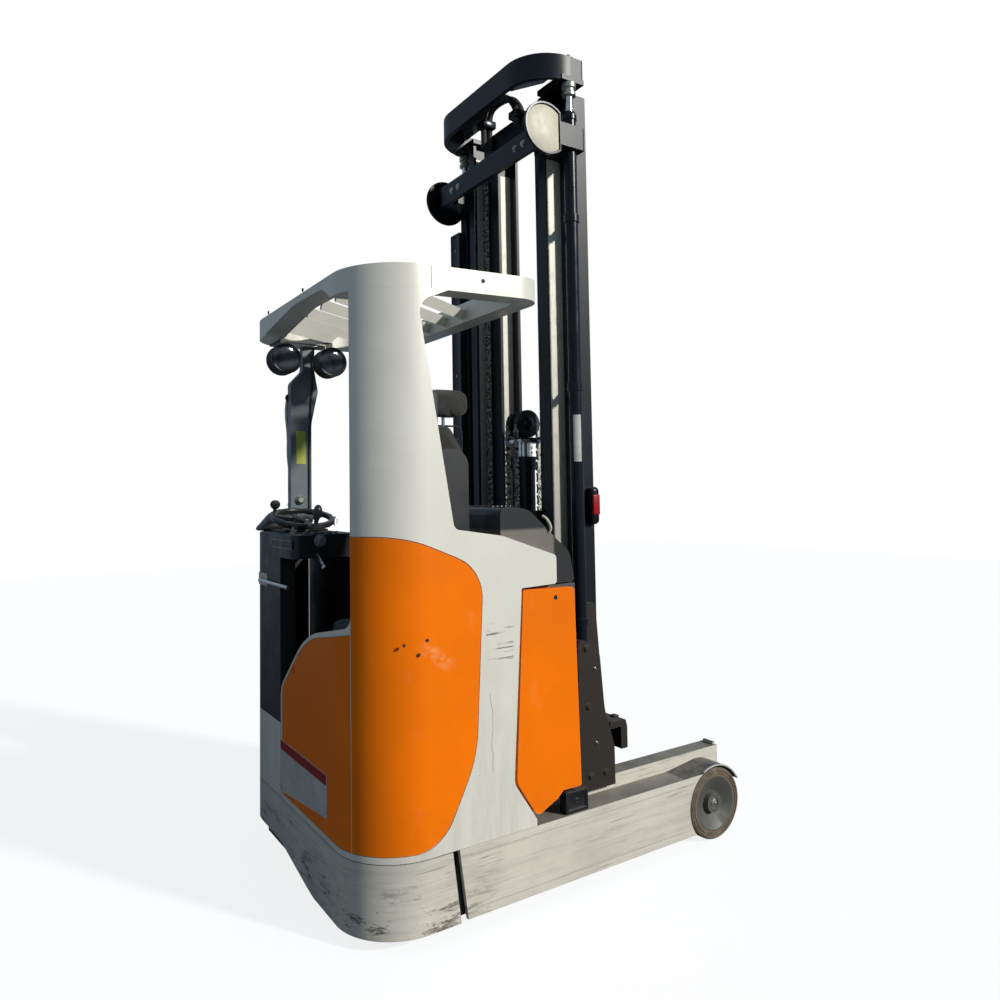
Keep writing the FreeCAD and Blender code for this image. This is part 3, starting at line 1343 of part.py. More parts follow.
# ---------------------------------------------------------------- reach carriage
def reach_carriage():
    """Plates that hold the mast, rollers for the leg rails, and shelves over the rails."""
    body = new_body("reach_carriage")
    out, wall = s.carriage_out, s.carriage_wall
    rear, front, low, top = s.carriage_rear, s.carriage_front, s.carriage_low, s.carriage_top
    inner = out - wall
    for name, side in SIDES:
        across = side_span(side, inner, out)
        pad(body, "XZ_Plane", across[0], across[1],
            [(rear, low), (front + 10, low), (front, low + 120, 30), (front - 60, top, 20),
             (rear + 60, top, 20), (rear, low + 190, 20)])
        lug = side_span(side, s.outer_out + s.seat_gap, inner + 1)
        for bottom in (low + 60, top - 140):
            pad(body, "XY_Plane", bottom, bottom + 60,
                box_loop(s.outer_rear + 20, s.outer_rear + 80, lug[0], lug[1]))
        shelf = side_span(side, out - 1, s.guard_plate_out)
        pad(body, "XY_Plane", shelf_top - s.shelf_wall, shelf_top,
            box_loop(s.guard_plate_rear + 20, s.guard_plate_front, shelf[0], shelf[1]))
        plate = side_span(side, s.guard_plate_out - s.guard_plate_wall, s.guard_plate_out)
        pad(body, "XZ_Plane", plate[0], plate[1],
            [(s.guard_plate_rear, s.guard_plate_low), (s.guard_plate_front, s.guard_plate_low),
             (s.guard_plate_front, s.guard_plate_front_up, 60),
             (s.guard_plate_waist, s.guard_plate_waist_up, 200),
             (s.guard_plate_neck, s.guard_plate_neck_up, 30),
             (s.guard_plate_rear, s.guard_plate_top, 20)])
    cross = side_span(1, 0, inner + 1)
    pad(body, "XY_Plane", low + 15, low + 175,
        box_loop(rear + 1, rear + s.cross_plate - s.seat_gap, -cross[1], cross[1]))
    pocket(body, "YZ_Plane", rear - 5, rear + s.cross_plate + 5,
           ((s.reach_across, s.reach_height), s.reach_rod_radius + s.pin_fit))
    up = (s.rail_top + s.rail_low) / 2
    radius = (s.rail_top - s.rail_low) / 2 - s.leg_plate - s.roller_play
    reach = rail_face - s.rail_web - s.moving_gap
    for name, side in SIDES:
        stub = side_span(side, out - 1, reach - 1)
        wheel = side_span(side, rail_tip + s.moving_gap, reach)
        for along in (s.roller_rear, s.roller_front):
            pad(body, "XZ_Plane", stub[0], stub[1], ((along, up), s.roller_stub))
            pad(body, "XZ_Plane", wheel[0], wheel[1], ((along, up), radius))
    node(body, "reach_carriage")


def reach_cylinder():
    """Cylinder under the floor that pushes the carriage out."""
    centre = (s.reach_across, s.reach_height)
    tube = new_body("reach_cylinder")
    rear, front = s.reach_tube_rear, s.reach_tube_front
    bore = rear + s.tube_floor
    pad(tube, "YZ_Plane", rear, front, (centre, s.reach_tube_radius))
    pocket(tube, "YZ_Plane", bore, front + 2, (centre, s.reach_rod_radius + s.pin_fit))
    node(tube, "reach_cylinder")
    piston = new_body("reach_rod")
    pad(piston, "YZ_Plane", bore + s.moving_gap, s.carriage_rear + s.cross_plate - s.seat_gap,
        (centre, s.reach_rod_radius))
    node(piston, "reach_rod")


# ---------------------------------------------------------------- fork carriage
def fork_carriage():
    """The two fork bars and the side plates with their rollers; the forks are off."""
    body = new_body("fork_carriage")
    face, half, wall, top = s.fork_face, s.fork_bar_half, s.fork_bar_wall, s.fork_bar_top
    back = face - wall
    low = top - s.fork_bar_drop
    pad(body, "XZ_Plane", -half, half,
        [(back, top - s.fork_bar_height), (face, top - s.fork_bar_height, 6), (face, top - 30),
         (face - 8, top, 6), (back - s.fork_bar_shelf, top, 8), (back - s.fork_bar_shelf, top - 26),
         (back, top - 26)])
    pad(body, "XZ_Plane", -half, half, box_loop(back, face, low, low + s.fork_bar_low_height, 6))
    tip = inner_out - s.inner_flange
    rear = s.inner_rear + s.cross_wall - 2
    outer = tip - s.carriage_side_inset
    for name, side in SIDES:
        across = side_span(side, outer - s.carriage_side_wall, outer)
        pad(body, "XZ_Plane", across[0], across[1],
            [(back + 1, low + 1), (back + 1, top - 1), (rear, top + s.carriage_side_rise, 20),
             (rear, top - s.carriage_side_drop, 30)])
        web = side_span(side, outer - 6, inner_out - s.rail_wall - s.moving_gap)
        radius = s.inner_depth / 2 - s.rail_wall - s.roller_play
        for step in (s.mast_roller_low, s.mast_roller_high):
            pad(body, "XZ_Plane", web[0], web[1],
                ((s.inner_rear + s.inner_depth / 2, top + step), radius))
    node(body, "fork_carriage")


def build():
    chassis_frame()
    rear_skirt()
    for name, side in SIDES:
        support_leg(name, side)
        fender(name, side)
        load_wheel(name, side)
    drive_unit()
    battery()
    right_panels()
    left_covers()
    overhead_guard()
    guard_post()
    console()
    seat()
    pedals()
    lamps()
    outer_mast()
    middle_mast()
    inner_mast()
    lift_cylinders()
    free_lift()
    reach_carriage()
    reach_cylinder()
    fork_carriage()


def check():
    """Stop on any failed object, cut that removes nothing, or bad shape."""
    for thing in doc.Objects:
        if "Invalid" in thing.State or "Error" in thing.State:
            raise RuntimeError("failed: %s %s" % (thing.Name, thing.Label))
        if thing.TypeId == "PartDesign::Pocket":
            before = thing.BaseFeature.Shape.Volume
            if before - thing.Shape.Volume < 1.0:
                raise RuntimeError("pocket cuts nothing: %s" % thing.getParent().Label)
    for thing in NODES:
        if thing.Shape.isNull() or not thing.Shape.isValid():
            raise RuntimeError("bad shape: %s" % thing.Label)


build()
doc.recompute()
check()
os.makedirs("parts", exist_ok=True)
for thing in NODES:
    thing.Shape.exportStep("parts/%s.step" % thing.Label)
    print("%-24s %2d solid(s) %12.0f mm3" % (thing.Label, len(thing.Shape.Solids), thing.Shape.Volume))
print(len(NODES), "sub-parts")
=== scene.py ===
"""Looks of an electric reach truck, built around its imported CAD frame.

Metres, +X towards the forks, +Y to the operator's front, +Z up. A length "along" is
measured from the truck's flat rear face, "across" from its centre line and "up" from
the floor.
"""
import math

import bpy
from mathutils import Matrix, Vector


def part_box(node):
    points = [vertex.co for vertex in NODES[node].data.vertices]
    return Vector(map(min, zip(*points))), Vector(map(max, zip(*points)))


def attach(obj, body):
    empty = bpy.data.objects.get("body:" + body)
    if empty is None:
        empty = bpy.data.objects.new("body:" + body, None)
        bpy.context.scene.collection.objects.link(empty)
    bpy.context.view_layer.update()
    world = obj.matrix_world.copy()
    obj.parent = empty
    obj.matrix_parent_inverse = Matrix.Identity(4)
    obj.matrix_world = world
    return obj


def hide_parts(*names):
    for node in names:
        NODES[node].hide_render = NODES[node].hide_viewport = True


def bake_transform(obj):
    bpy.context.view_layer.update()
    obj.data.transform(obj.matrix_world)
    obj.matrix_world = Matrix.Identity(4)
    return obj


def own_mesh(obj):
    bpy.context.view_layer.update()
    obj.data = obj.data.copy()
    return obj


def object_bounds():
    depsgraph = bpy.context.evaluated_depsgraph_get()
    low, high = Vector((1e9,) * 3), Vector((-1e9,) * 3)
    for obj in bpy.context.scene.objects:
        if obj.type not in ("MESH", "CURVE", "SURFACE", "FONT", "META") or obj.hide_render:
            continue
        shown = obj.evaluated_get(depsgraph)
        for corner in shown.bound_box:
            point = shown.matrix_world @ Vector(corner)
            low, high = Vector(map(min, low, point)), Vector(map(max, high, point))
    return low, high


bl_info = {
    "name": "Reach truck looks",
    "version": (1, 0, 0),
    "blender": (4, 5, 0),
    "location": "3D View > Sidebar > Reach truck",
    "description": "Finishes, trim, seat, chains and stage of an electric reach truck",
    "category": "Object",
}

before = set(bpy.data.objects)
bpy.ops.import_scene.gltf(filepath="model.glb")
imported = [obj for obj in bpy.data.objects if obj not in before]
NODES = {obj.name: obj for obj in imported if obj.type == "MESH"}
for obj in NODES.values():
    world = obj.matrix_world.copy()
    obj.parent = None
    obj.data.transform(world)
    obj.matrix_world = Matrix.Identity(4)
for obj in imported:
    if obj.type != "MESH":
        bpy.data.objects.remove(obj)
CAD_LOW, CAD_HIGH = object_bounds()
REAR = CAD_LOW.x
RIGHT, LEFT = -1, 1
SIDES = (("right", RIGHT), ("left", LEFT))


def srgb(red, green, blue):
    """A colour as it looks, 0 to 255, turned into the linear values that shaders take."""
    def linear(value):
        value /= 255
        return value / 12.92 if value <= 0.04045 else ((value + 0.055) / 1.055) ** 2.4
    return linear(red), linear(green), linear(blue)


# ------------------------------------------------------------------ sizes and colours
def length(name, description, default):
    """A size in metres that a user may change."""
    return bpy.props.FloatProperty(name=name, description=description, default=default,
                                   min=0.0, unit="LENGTH")


def colour(name, description, default):
    """A colour that a user may change."""
    return bpy.props.FloatVectorProperty(name=name, description=description, size=3,
                                         default=default, min=0.0, max=1.0, subtype="COLOR")


class TruckSizes(bpy.types.PropertyGroup):
    """Sizes of the trim that a user may change"""
    chain_pitch: length("Chain pitch", "Distance between two chain pins", 0.0254)
    chain_width: length("Chain width", "Height of a chain's link plates", 0.022)
    hose_radius: length("Hose radius", "Radius of a hydraulic hose", 0.0095)
    screw_radius: length("Screw radius", "Radius of a cover's screw head", 0.007)
    bolt_radius: length("Bolt radius", "Radius of a frame bolt's head", 0.011)
    seam_width: length("Seam width", "Width of the fine joint lines in the covers", 0.0022)
    piping_radius: length("Piping radius", "Radius of the seat's sewn piping", 0.0035)


class TruckColours(bpy.types.PropertyGroup):
    """Colours of the truck's finishes"""
    silver: colour("Silver", "Paint of the column and the guard", srgb(232, 229, 217))
    worn_silver: colour("Worn silver", "Paint of the skirt and the legs", srgb(212, 208, 194))
    orange: colour("Orange", "Paint of the panels and the battery covers", srgb(252, 122, 4))
    hood: colour("Hood", "Moulded hood over the battery", srgb(112, 107, 100))
    black: colour("Black", "Plain black paint", srgb(27, 28, 31))
    mast: colour("Mast black", "Paint of the mast", srgb(19, 23, 30))
    carriage: colour("Carriage brown", "Paint of the reach carriage", srgb(48, 43, 38))
    guard_grey: colour("Guard grey", "Paint of the front post", srgb(112, 122, 124))
    plastic: colour("Plastic", "Moulded covers inside the cab", srgb(29, 29, 31))
    rubber: colour("Rubber", "Mats, hoses and pedal pads", srgb(34, 33, 32))
    cloth: colour("Cloth", "Seat fabric", srgb(43, 43, 40))
    tread: colour("Tread", "Solid tyres of the wheels", srgb(112, 98, 82))
    rim: colour("Rim", "Painted rims of the wheels", srgb(94, 95, 88))
    steel: colour("Steel", "Bare rolled steel of the tracks", srgb(228, 224, 210))
    fender: colour("Fender", "Paint of the wheels' covers", srgb(86, 85, 84))
    red: colour("Red", "Stripe on the rear plate and the side marker", srgb(168, 20, 22))


def sizes():
    """The sizes the user has set."""
    return bpy.context.scene.truck_sizes


def colours():
    """The colours the user has set."""
    return bpy.context.scene.truck_colours


# ------------------------------------------------------------------ modelling helpers
def at(along, across, up):
    """A place measured from the truck's rear face, its centre line and the floor."""
    return Vector((REAR + along, across, up))


def clear():
    """Leaves object mode with nothing selected."""
    if bpy.context.object and bpy.context.object.mode != "OBJECT":
        bpy.ops.object.mode_set(mode="OBJECT")
    bpy.ops.object.select_all(action="DESELECT")


def only(piece):
    """Selects one piece and makes it active."""
    clear()
    piece.select_set(True)
    bpy.context.view_layer.objects.active = piece
    return piece


def settle():
    """Applies the new primitive's place, so that its object sits at the origin."""
    bpy.ops.object.transform_apply(location=True, rotation=True, scale=True)
    return bpy.context.object


def edit_all():
    """Enters edit mode with every point of the active piece selected."""
    bpy.ops.object.mode_set(mode="EDIT")
    bpy.ops.mesh.select_mode(type="VERT")
    bpy.ops.mesh.select_all(action="SELECT")


def face_outwards():
    """Turns every face of the piece in edit mode outwards, and leaves edit mode."""
    bpy.ops.mesh.select_all(action="SELECT")
    bpy.ops.mesh.normals_make_consistent(inside=False)
    bpy.ops.object.mode_set(mode="OBJECT")


def middle_of(node):
    """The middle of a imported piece's box."""
    low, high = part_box(node)
    return (low + high) / 2


def start_box(low, high, turn=(0.0, 0.0, 0.0)):
    """A cube between two corners, turned about its centre."""
    clear()
    low, high = Vector(low), Vector(high)
    bpy.ops.mesh.primitive_cube_add(size=1, location=(low + high) / 2,
                                    scale=high - low, rotation=turn)
    return settle()


def box_at(low, high):
    """A box between two corners, each given along, across and up."""
    return start_box(at(*low), at(*high))


def turn_to(direction):
    """Euler angles that carry +Z onto a direction."""
    return Vector(direction).to_track_quat("Z", "Y").to_euler()


def lathe(start, axis, profile, sides=32, closed=False):
    """A turned piece: a ring extruded along its axis through (distance, radius) pairs."""
    clear()
    axis = Vector(axis).normalized()
    first, *rest = profile
    if closed:
        rest.append(first)
    centre = Vector(start) + axis * first[0]
    bpy.ops.mesh.primitive_circle_add(vertices=sides, radius=first[1], location=centre,
                                      rotation=turn_to(axis),
                                      fill_type="NOTHING" if closed else "NGON")
    piece = settle()
    edit_all()
    radius, travelled = first[1], first[0]
    for distance, wider in rest:
        step = axis * (distance - travelled)
        bpy.ops.mesh.extrude_region_move(TRANSFORM_OT_translate={"value": step})
        centre = centre + step
        bpy.ops.transform.resize(value=(wider / radius,) * 3, center_override=centre)
        radius, travelled = wider, distance
    if closed:
        bpy.ops.mesh.select_all(action="SELECT")
        bpy.ops.mesh.remove_doubles(threshold=0.00001)
    face_outwards()
    return piece


def rod(start, end, radius, sides=20, chamfer=0.0):
    """A round bar between two points, with its end edges chamfered."""
    start, end = Vector(start), Vector(end)
    reach = (end - start).length
    chamfer = chamfer or min(radius * 0.2, reach * 0.2)
    profile = [(0, radius - chamfer), (chamfer, radius),
               (reach - chamfer, radius), (reach, radius - chamfer)]
    return lathe(start, end - start, profile, sides)


def plate(corners, push):
    """A flat plate: an n-sided disc whose corners are placed, then extruded."""
    clear()
    bpy.ops.mesh.primitive_circle_add(vertices=len(corners), radius=1, fill_type="NGON")
    piece = settle()
    for vertex, corner in zip(piece.data.vertices, corners):
        vertex.co = corner
    edit_all()
    bpy.ops.mesh.extrude_region_move(TRANSFORM_OT_translate={"value": Vector(push)})
    face_outwards()
    return piece


def pick_faces(piece, towards, least=0.9):
    """Selects, in edit mode, the faces that look one way."""
    towards = Vector(towards).normalized()
    only(piece)
    bpy.ops.object.mode_set(mode="EDIT")
    bpy.ops.mesh.select_mode(type="FACE")
    bpy.ops.mesh.select_all(action="DESELECT")
    bpy.ops.object.mode_set(mode="OBJECT")
    for face in piece.data.polygons:
        face.select = face.normal.dot(towards) > least
    bpy.ops.object.mode_set(mode="EDIT")


def sink_faces(piece, towards, rim, depth):
    """Insets the faces that look one way and moves the middle in (or out, below zero)."""
    pick_faces(piece, towards)
    bpy.ops.mesh.inset(thickness=rim)
    bpy.ops.mesh.extrude_region_move(
        TRANSFORM_OT_translate={"value": Vector(towards).normalized() * -depth})
    bpy.ops.object.mode_set(mode="OBJECT")
    return piece


def apply_modifier(piece, kind, **settings):
    """Adds a modifier and applies it at once."""
    only(piece)
    modifier = piece.modifiers.new("work", kind)
    for name, value in settings.items():
        setattr(modifier, name, value)
    bpy.ops.object.modifier_apply(modifier=modifier.name)
    return piece


def soften(piece, width, segments=2, angle=30):
    """Rounds the edges that are sharper than an angle."""
    return apply_modifier(piece, "BEVEL", width=width, segments=segments,
                          limit_method="ANGLE", angle_limit=math.radians(angle))


def smooth(piece, angle=35):
    """Shades a piece smooth, but for edges sharper than an angle."""
    only(piece)
    bpy.ops.object.shade_smooth_by_angle(angle=math.radians(angle))
    return piece


def join(*pieces):
    """Makes one piece of several."""
    clear()
    for piece in pieces:
        piece.select_set(True)
    bpy.context.view_layer.objects.active = pieces[0]
    bpy.ops.object.join()
    return bpy.context.object


def copy_of(piece, shift=(0.0, 0.0, 0.0), mirrored=False):
    """A copy with its own mesh, moved, and mirrored across the centre line if asked."""
    twin = piece.copy()
    twin.data = piece.data.copy()
    bpy.context.scene.collection.objects.link(twin)
    if mirrored:
        twin.data.transform(Matrix.Scale(-1, 4, Vector((0, 1, 0))))
        twin.data.flip_normals()
    twin.data.transform(Matrix.Translation(Vector(shift)))
    return twin


def row_of(piece, count, step):
    """Repeats a piece at an even step and applies the repeats."""
    return apply_modifier(piece, "ARRAY", count=count, use_relative_offset=False,
                          use_constant_offset=True, constant_offset_displace=Vector(step))


def tube(points, radius, sides=4):
    """A round tube along a smooth curve through its control points, as a mesh with closed ends."""
    clear()
    bpy.ops.curve.primitive_nurbs_path_add(radius=1)
    line = bpy.context.object
    data = line.data
    data.splines.clear()
    spline = data.splines.new("NURBS")
    spline.points.add(len(points) - 1)
    for point, place in zip(spline.points, points):
        point.co = (*place, 1.0)
    spline.order_u = 3
    spline.use_endpoint_u = True
    data.bevel_depth = radius
    data.bevel_resolution = sides
    data.resolution_u = 10
    data.use_fill_caps = True
    settle()
    bpy.ops.object.convert(target="MESH")
    return bpy.context.object


def tube_at(line, radius, sides=4, shift=(0.0, 0.0)):
    """A tube through places given along, across and up, moved by a shift along and across."""
    return tube([at(along + shift[0], across + shift[1], up) for along, across, up in line],
                radius, sides)


def dress(piece, name, make, angle=35):
    """Names a piece, shades it smooth, and gives it a finish."""
    piece.name = name
    piece.data.name = name
    smooth(piece, angle)
    piece.data.materials.clear()
    piece.data.materials.append(look(make))
    return piece


def finish(piece, name, make, body="chassis", angle=35):
    """Dresses a piece and tells which body it rides on."""
    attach(dress(piece, name, make, angle), body)
    return piece


def stretch(piece, name, make, bodies, ends):
    """Dresses a piece that reaches from one body to another, and bakes its place into its mesh."""
    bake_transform(dress(piece, name, make))


def pair(piece, name, make, body="chassis"):
    """Finishes a right-hand piece and its mirrored twin; {} in a body's name is the side."""
    twin = copy_of(piece, mirrored=True)
    finish(piece, "right_" + name, make, body.format("right"))
    finish(twin, "left_" + name, make, body.format("left"))


def hex_bolt(place, axis, radius, height, washer=True):
    """A hexagon head with a chamfered top, on a washer."""
    axis = Vector(axis).normalized()
    head = lathe(place, axis, [(0, radius), (height * 0.8, radius), (height, radius * 0.82)], 6)
    if not washer:
        return head
    disc = lathe(place, axis, [(0, radius * 1.35), (height * 0.22, radius * 1.35),
                               (height * 0.25, radius * 1.2)], 20)
    return join(head, disc)


def ways_round(count, first, axis):
    """Directions spread evenly round the Y or Z axis; the first is that many degrees from +X."""
    turns = [math.radians(first + 360 * step / count) for step in range(count)]
    if axis == "Y":
        return [Vector((math.cos(turn), 0, math.sin(turn))) for turn in turns]
    return [Vector((math.cos(turn), math.sin(turn), 0)) for turn in turns]


def cap_screw(place, axis, radius, height):
    """A round head with a domed edge and a hexagon socket."""
    axis = Vector(axis).normalized()
    head = lathe(place, axis, [(0, radius), (height * 0.7, radius), (height, radius * 0.8)], 20)
    pick_faces(head, axis)
    bpy.ops.mesh.inset(thickness=radius * 0.3)
    bpy.ops.mesh.extrude_region_move(TRANSFORM_OT_translate={"value": axis * -height * 0.6})
    bpy.ops.object.mode_set(mode="OBJECT")
    return head


# ------------------------------------------------------------------ shader helpers
class Num:
    """A socket that takes part in plain arithmetic."""

    def __init__(self, paint, socket):
        self.paint, self.socket = paint, socket

    def join_with(self, operation, first, second):
        """Adds a Math node."""
        return self.paint.node("ShaderNodeMath", {"operation": operation}, {0: first, 1: second})

    def __add__(self, other):
        return self.join_with("ADD", self, other)

    def __sub__(self, other):
        return self.join_with("SUBTRACT", self, other)

    def __rsub__(self, other):
        return self.join_with("SUBTRACT", other, self)

    def __mul__(self, other):
        return self.join_with("MULTIPLY", self, other)

    def __gt__(self, other):
        return self.join_with("GREATER_THAN", self, other)

    def __lt__(self, other):
        return self.join_with("LESS_THAN", self, other)

    def __abs__(self):
        return self.join_with("ABSOLUTE", self, 0.0)

    __radd__ = __add__
    __rmul__ = __mul__


class Nodes:
    """A node tree whose nodes are made, set and joined in one call each."""

    def __init__(self, tree):
        self.tree = tree

    def node(self, kind, settings=None, values=None, out=0):
        """Adds a node: its settings first, then the values or links of its sockets."""
        made = self.tree.nodes.new(kind)
        for name, value in (settings or {}).items():
            setattr(made, name, value)
        for key, value in (values or {}).items():
            self.feed(made.inputs[key], value)
        return Num(self, made.outputs[out])

    def feed(self, socket, value):
        """Links a socket, or sets its value."""
        if isinstance(value, Num):
            self.tree.links.new(value.socket, socket)
        elif socket.type == "RGBA" and len(value) == 3:
            socket.default_value = (*value, 1.0)
        else:
            socket.default_value = value

    def fade(self, value, start, end, low=0.0, high=1.0):
        """Maps start..end of a value to low..high, and holds it beyond them."""
        return self.node("ShaderNodeMapRange", {"clamp": True},
                         {"Value": value, "From Min": start, "From Max": end,
                          "To Min": low, "To Max": high})

    def mix(self, mask, first, second):
        """One colour where the mask is 0, the other where it is 1."""
        return self.node("ShaderNodeMix", {"data_type": "RGBA"},
                         {0: mask, 6: first, 7: second}, out=2)

    def is_ray(self, kind):
        """1 for rays of one kind, such as "Camera", and 0 for the others."""
        return self.node("ShaderNodeLightPath", out=f"Is {kind} Ray")


class Paint(Nodes):
    """A material with one shader, whose patterns lie on the piece's own coordinates."""

    def __init__(self, name):
        self.material = bpy.data.materials.new(name)
        self.material.use_nodes = True
        super().__init__(self.material.node_tree)
        self.shader = self.tree.nodes["Principled BSDF"]
        self.spot = None
        self.shade = None

    def ground(self, mask, first, second):
        """Starts the colour: one where the mask is 0, the other where it is 1."""
        self.shade = self.mix(mask, first, second)

    def coat(self, mask, shade):
        """Lays a colour over the colours so far, where the mask is 1."""
        self.shade = self.mix(mask, self.shade, shade)

    def place(self):
        """The point on the piece, in the truck's frame."""
        if self.spot is None:
            self.spot = self.node("ShaderNodeTexCoord", out="Object")
        return self.spot

    def axes(self):
        """The point's along, across and up values."""
        return self.split(self.place())

    def facing(self):
        """How far the surface looks along each axis."""
        return self.split(self.node("ShaderNodeNewGeometry", out="Normal"))

    def split(self, vector):
        """A vector's three values."""
        parts = self.node("ShaderNodeSeparateXYZ", None, {0: vector}).socket.node
        return [Num(self, parts.outputs[index]) for index in range(3)]

    def noise(self, scale, detail=3.0, rough=0.55, stretch=(1.0, 1.0, 1.0)):
        """Soft random values; a bigger stretch makes finer grain on that axis."""
        spot = self.node("ShaderNodeMapping", None, {"Vector": self.place(), "Scale": stretch})
        return self.node("ShaderNodeTexNoise", None, {"Vector": spot, "Scale": scale,
                                                      "Detail": detail, "Roughness": rough})

    def cells(self, scale, stretch=(1.0, 1.0, 1.0)):
        """Distances to scattered points, for grained surfaces."""
        spot = self.node("ShaderNodeMapping", None, {"Vector": self.place(), "Scale": stretch})
        return self.node("ShaderNodeTexVoronoi", None, {"Vector": spot, "Scale": scale},
                         out="Distance")

    def edges(self, radius, sharp=0.25):
        """1 along worn edges and 0 on flat faces."""
        rounded = self.node("ShaderNodeBevel", {"samples": 4}, {"Radius": radius})
        flat = self.node("ShaderNodeNewGeometry", out="Normal")
        cosine = self.node("ShaderNodeVectorMath", {"operation": "DOT_PRODUCT"},
                           {0: rounded, 1: flat}, out="Value")
        return self.fade(1.0 - cosine, 0.02, sharp)

    def set(self, **values):
        """Feeds the layered colour, and gives other sockets values, with underscores for spaces."""
        if self.shade is not None:
            values["Base_Color"] = self.shade
        for name, value in values.items():
            self.feed(self.shader.inputs[name.replace("_", " ")], value)
        return self

    def bump(self, height, strength=0.2, distance=0.001):
        """Lets a pattern raise and lower the surface."""
        normal = self.node("ShaderNodeBump", None, {"Height": height, "Strength": strength,
                                                    "Distance": distance})
        self.feed(self.shader.inputs["Normal"], normal)
        return self


def lift(shade, factor):
    """A colour made lighter or darker."""
    return tuple(min(1.0, value * factor) for value in shade)


def tint(shade, other, share):
    """A colour moved part of the way to another."""
    return tuple(a + (b - a) * share for a, b in zip(shade, other))


def near(value, place, reach):
    """1 where a value lies within reach of a place, else 0."""
    return abs(value - place) < reach


LOOKS = {}


def in_slot():
    """A decorator that leaves a finish as it is."""
    def keep(make):
        return make
    return keep


def look(make):
    """Makes a finish the first time it is asked for, and hands out the same one after that."""
    if make not in LOOKS:
        LOOKS[make] = make().material
    return LOOKS[make]


# ------------------------------------------------------------------ finishes
# Where the rollers run: distances of the rails' bare faces from the centre line.
OUTER_TRACKS = (0.351,)
MIDDLE_TRACKS = (0.310, 0.296)
INNER_TRACKS = (0.199,)
# Marks in the paint.
CRACK_ALONG, CRACK_UP = 0.470, (0.50, 0.76)
NICKS_ALONG, NICKS_UP = 0.505, 0.925
SMEAR_ALONG, SMEAR_UP = 0.262, 0.910
SMEAR_TURN = math.radians(35.4)             # down towards the truck's front


def silver_paint():
    """Pearl silver body paint: faint mottling, dust low down, fine scuffs and rubbed edges."""
    paint = Paint("silver paint")
    base = colours().silver
    along, across, up = paint.axes()
    cloud = paint.noise(5.0, 4.0)
    paint.ground(paint.fade(cloud, 0.35, 0.7), base, lift(base, 0.90))
    flakes = paint.noise(900.0, 1.0)
    paint.coat(paint.fade(flakes, 0.55, 0.8, 0.0, 0.22), lift(base, 1.12))
    streaks = paint.noise(16.0, 5.0, 0.7, (1.0, 1.0, 0.12))
    dust = paint.fade(up, 1.15, 0.28) * paint.fade(streaks, 0.42, 0.62)
    paint.coat(dust * 0.28, srgb(176, 172, 156))
    scuffs = paint.fade(paint.noise(42.0, 6.0, 0.75, (0.5, 0.5, 2.2)), 0.655, 0.70)
    marks = scuffs * paint.fade(paint.noise(3.1, 2.0), 0.52, 0.60)
    paint.coat(marks * 0.55, srgb(98, 94, 88))
    wander = along - (REAR + CRACK_ALONG) - paint.noise(6.0, 2.0) * 0.07 + 0.035
    crack = (paint.fade(abs(wander), 0.0024, 0.0008) * (across < -0.5)
             * (up > CRACK_UP[0]) * (up < CRACK_UP[1]))
    paint.coat(crack * 0.6, srgb(128, 126, 122))
    nicks = (paint.fade(paint.noise(48.0, 4.0, 0.7, (0.12, 1.0, 2.2)), 0.585, 0.61)
             * near(along, REAR + NICKS_ALONG, 0.055) * near(up, NICKS_UP, 0.075) * (across < -0.5))
    paint.coat(nicks * 0.75, srgb(84, 80, 76))
    paint.coat(paint.edges(0.004) * 0.35, lift(base, 1.10))
    paint.set(Roughness=paint.fade(cloud, 0.3, 0.7, 0.30, 0.42), Metallic=0.1,
              Specular_IOR_Level=0.3)
    return paint.bump(streaks + flakes * 0.15, 0.04)


@in_slot()
def worn_silver_paint():
    """The same paint on the skirt and legs: streaked and scraped along its length, with painted
    shade on top.
    """
    paint = Paint("worn silver paint")
    base = colours().worn_silver
    along, _, up = paint.axes()
    flat = paint.facing()[2]
    cloud = paint.noise(5.0, 4.0, 0.6)
    paint.ground(paint.fade(cloud, 0.38, 0.68), base, lift(base, 0.84))
    streaks = paint.noise(11.0, 6.0, 0.7, (0.22, 0.22, 5.0))
    paint.coat(paint.fade(streaks, 0.50, 0.62) * 0.28, srgb(158, 155, 146))
    scrapes = paint.noise(30.0, 5.0, 0.72, (0.10, 0.10, 4.0))
    drag = paint.fade(scrapes, 0.60, 0.63) * paint.fade(paint.noise(2.6, 3.0), 0.44, 0.58)
    paint.coat(drag * 0.70, srgb(84, 80, 74))
    bright = paint.fade(paint.noise(34.0, 4.0, 0.7, (0.12, 0.12, 5.0)), 0.58, 0.63)
    paint.coat(bright * 0.25, srgb(232, 230, 220))
    knocks = paint.fade(paint.noise(8.0, 7.0, 0.78, (0.7, 0.7, 2.4)), 0.545, 0.60)
    low = paint.fade(up, 0.25, 0.10) * paint.fade(along, REAR + 0.52, REAR + 0.30)
    paint.coat(knocks * low * 0.85, srgb(84, 70, 60))
    # Painted shade: faces that look up turn a darker brown-grey, patchy with the cloud.
    painted_top_shade = paint.fade(flat, 0.6, 0.9) * paint.fade(cloud, 0.70, 0.35, 0.55, 0.92)
    paint.coat(painted_top_shade, srgb(104, 99, 90))
    paint.coat(paint.edges(0.005) * 0.5, srgb(118, 113, 104))
    paint.set(Roughness=paint.fade(cloud, 0.3, 0.7, 0.44, 0.62), Specular_IOR_Level=0.35)
    return paint.bump(scrapes + streaks * 0.4, 0.16)


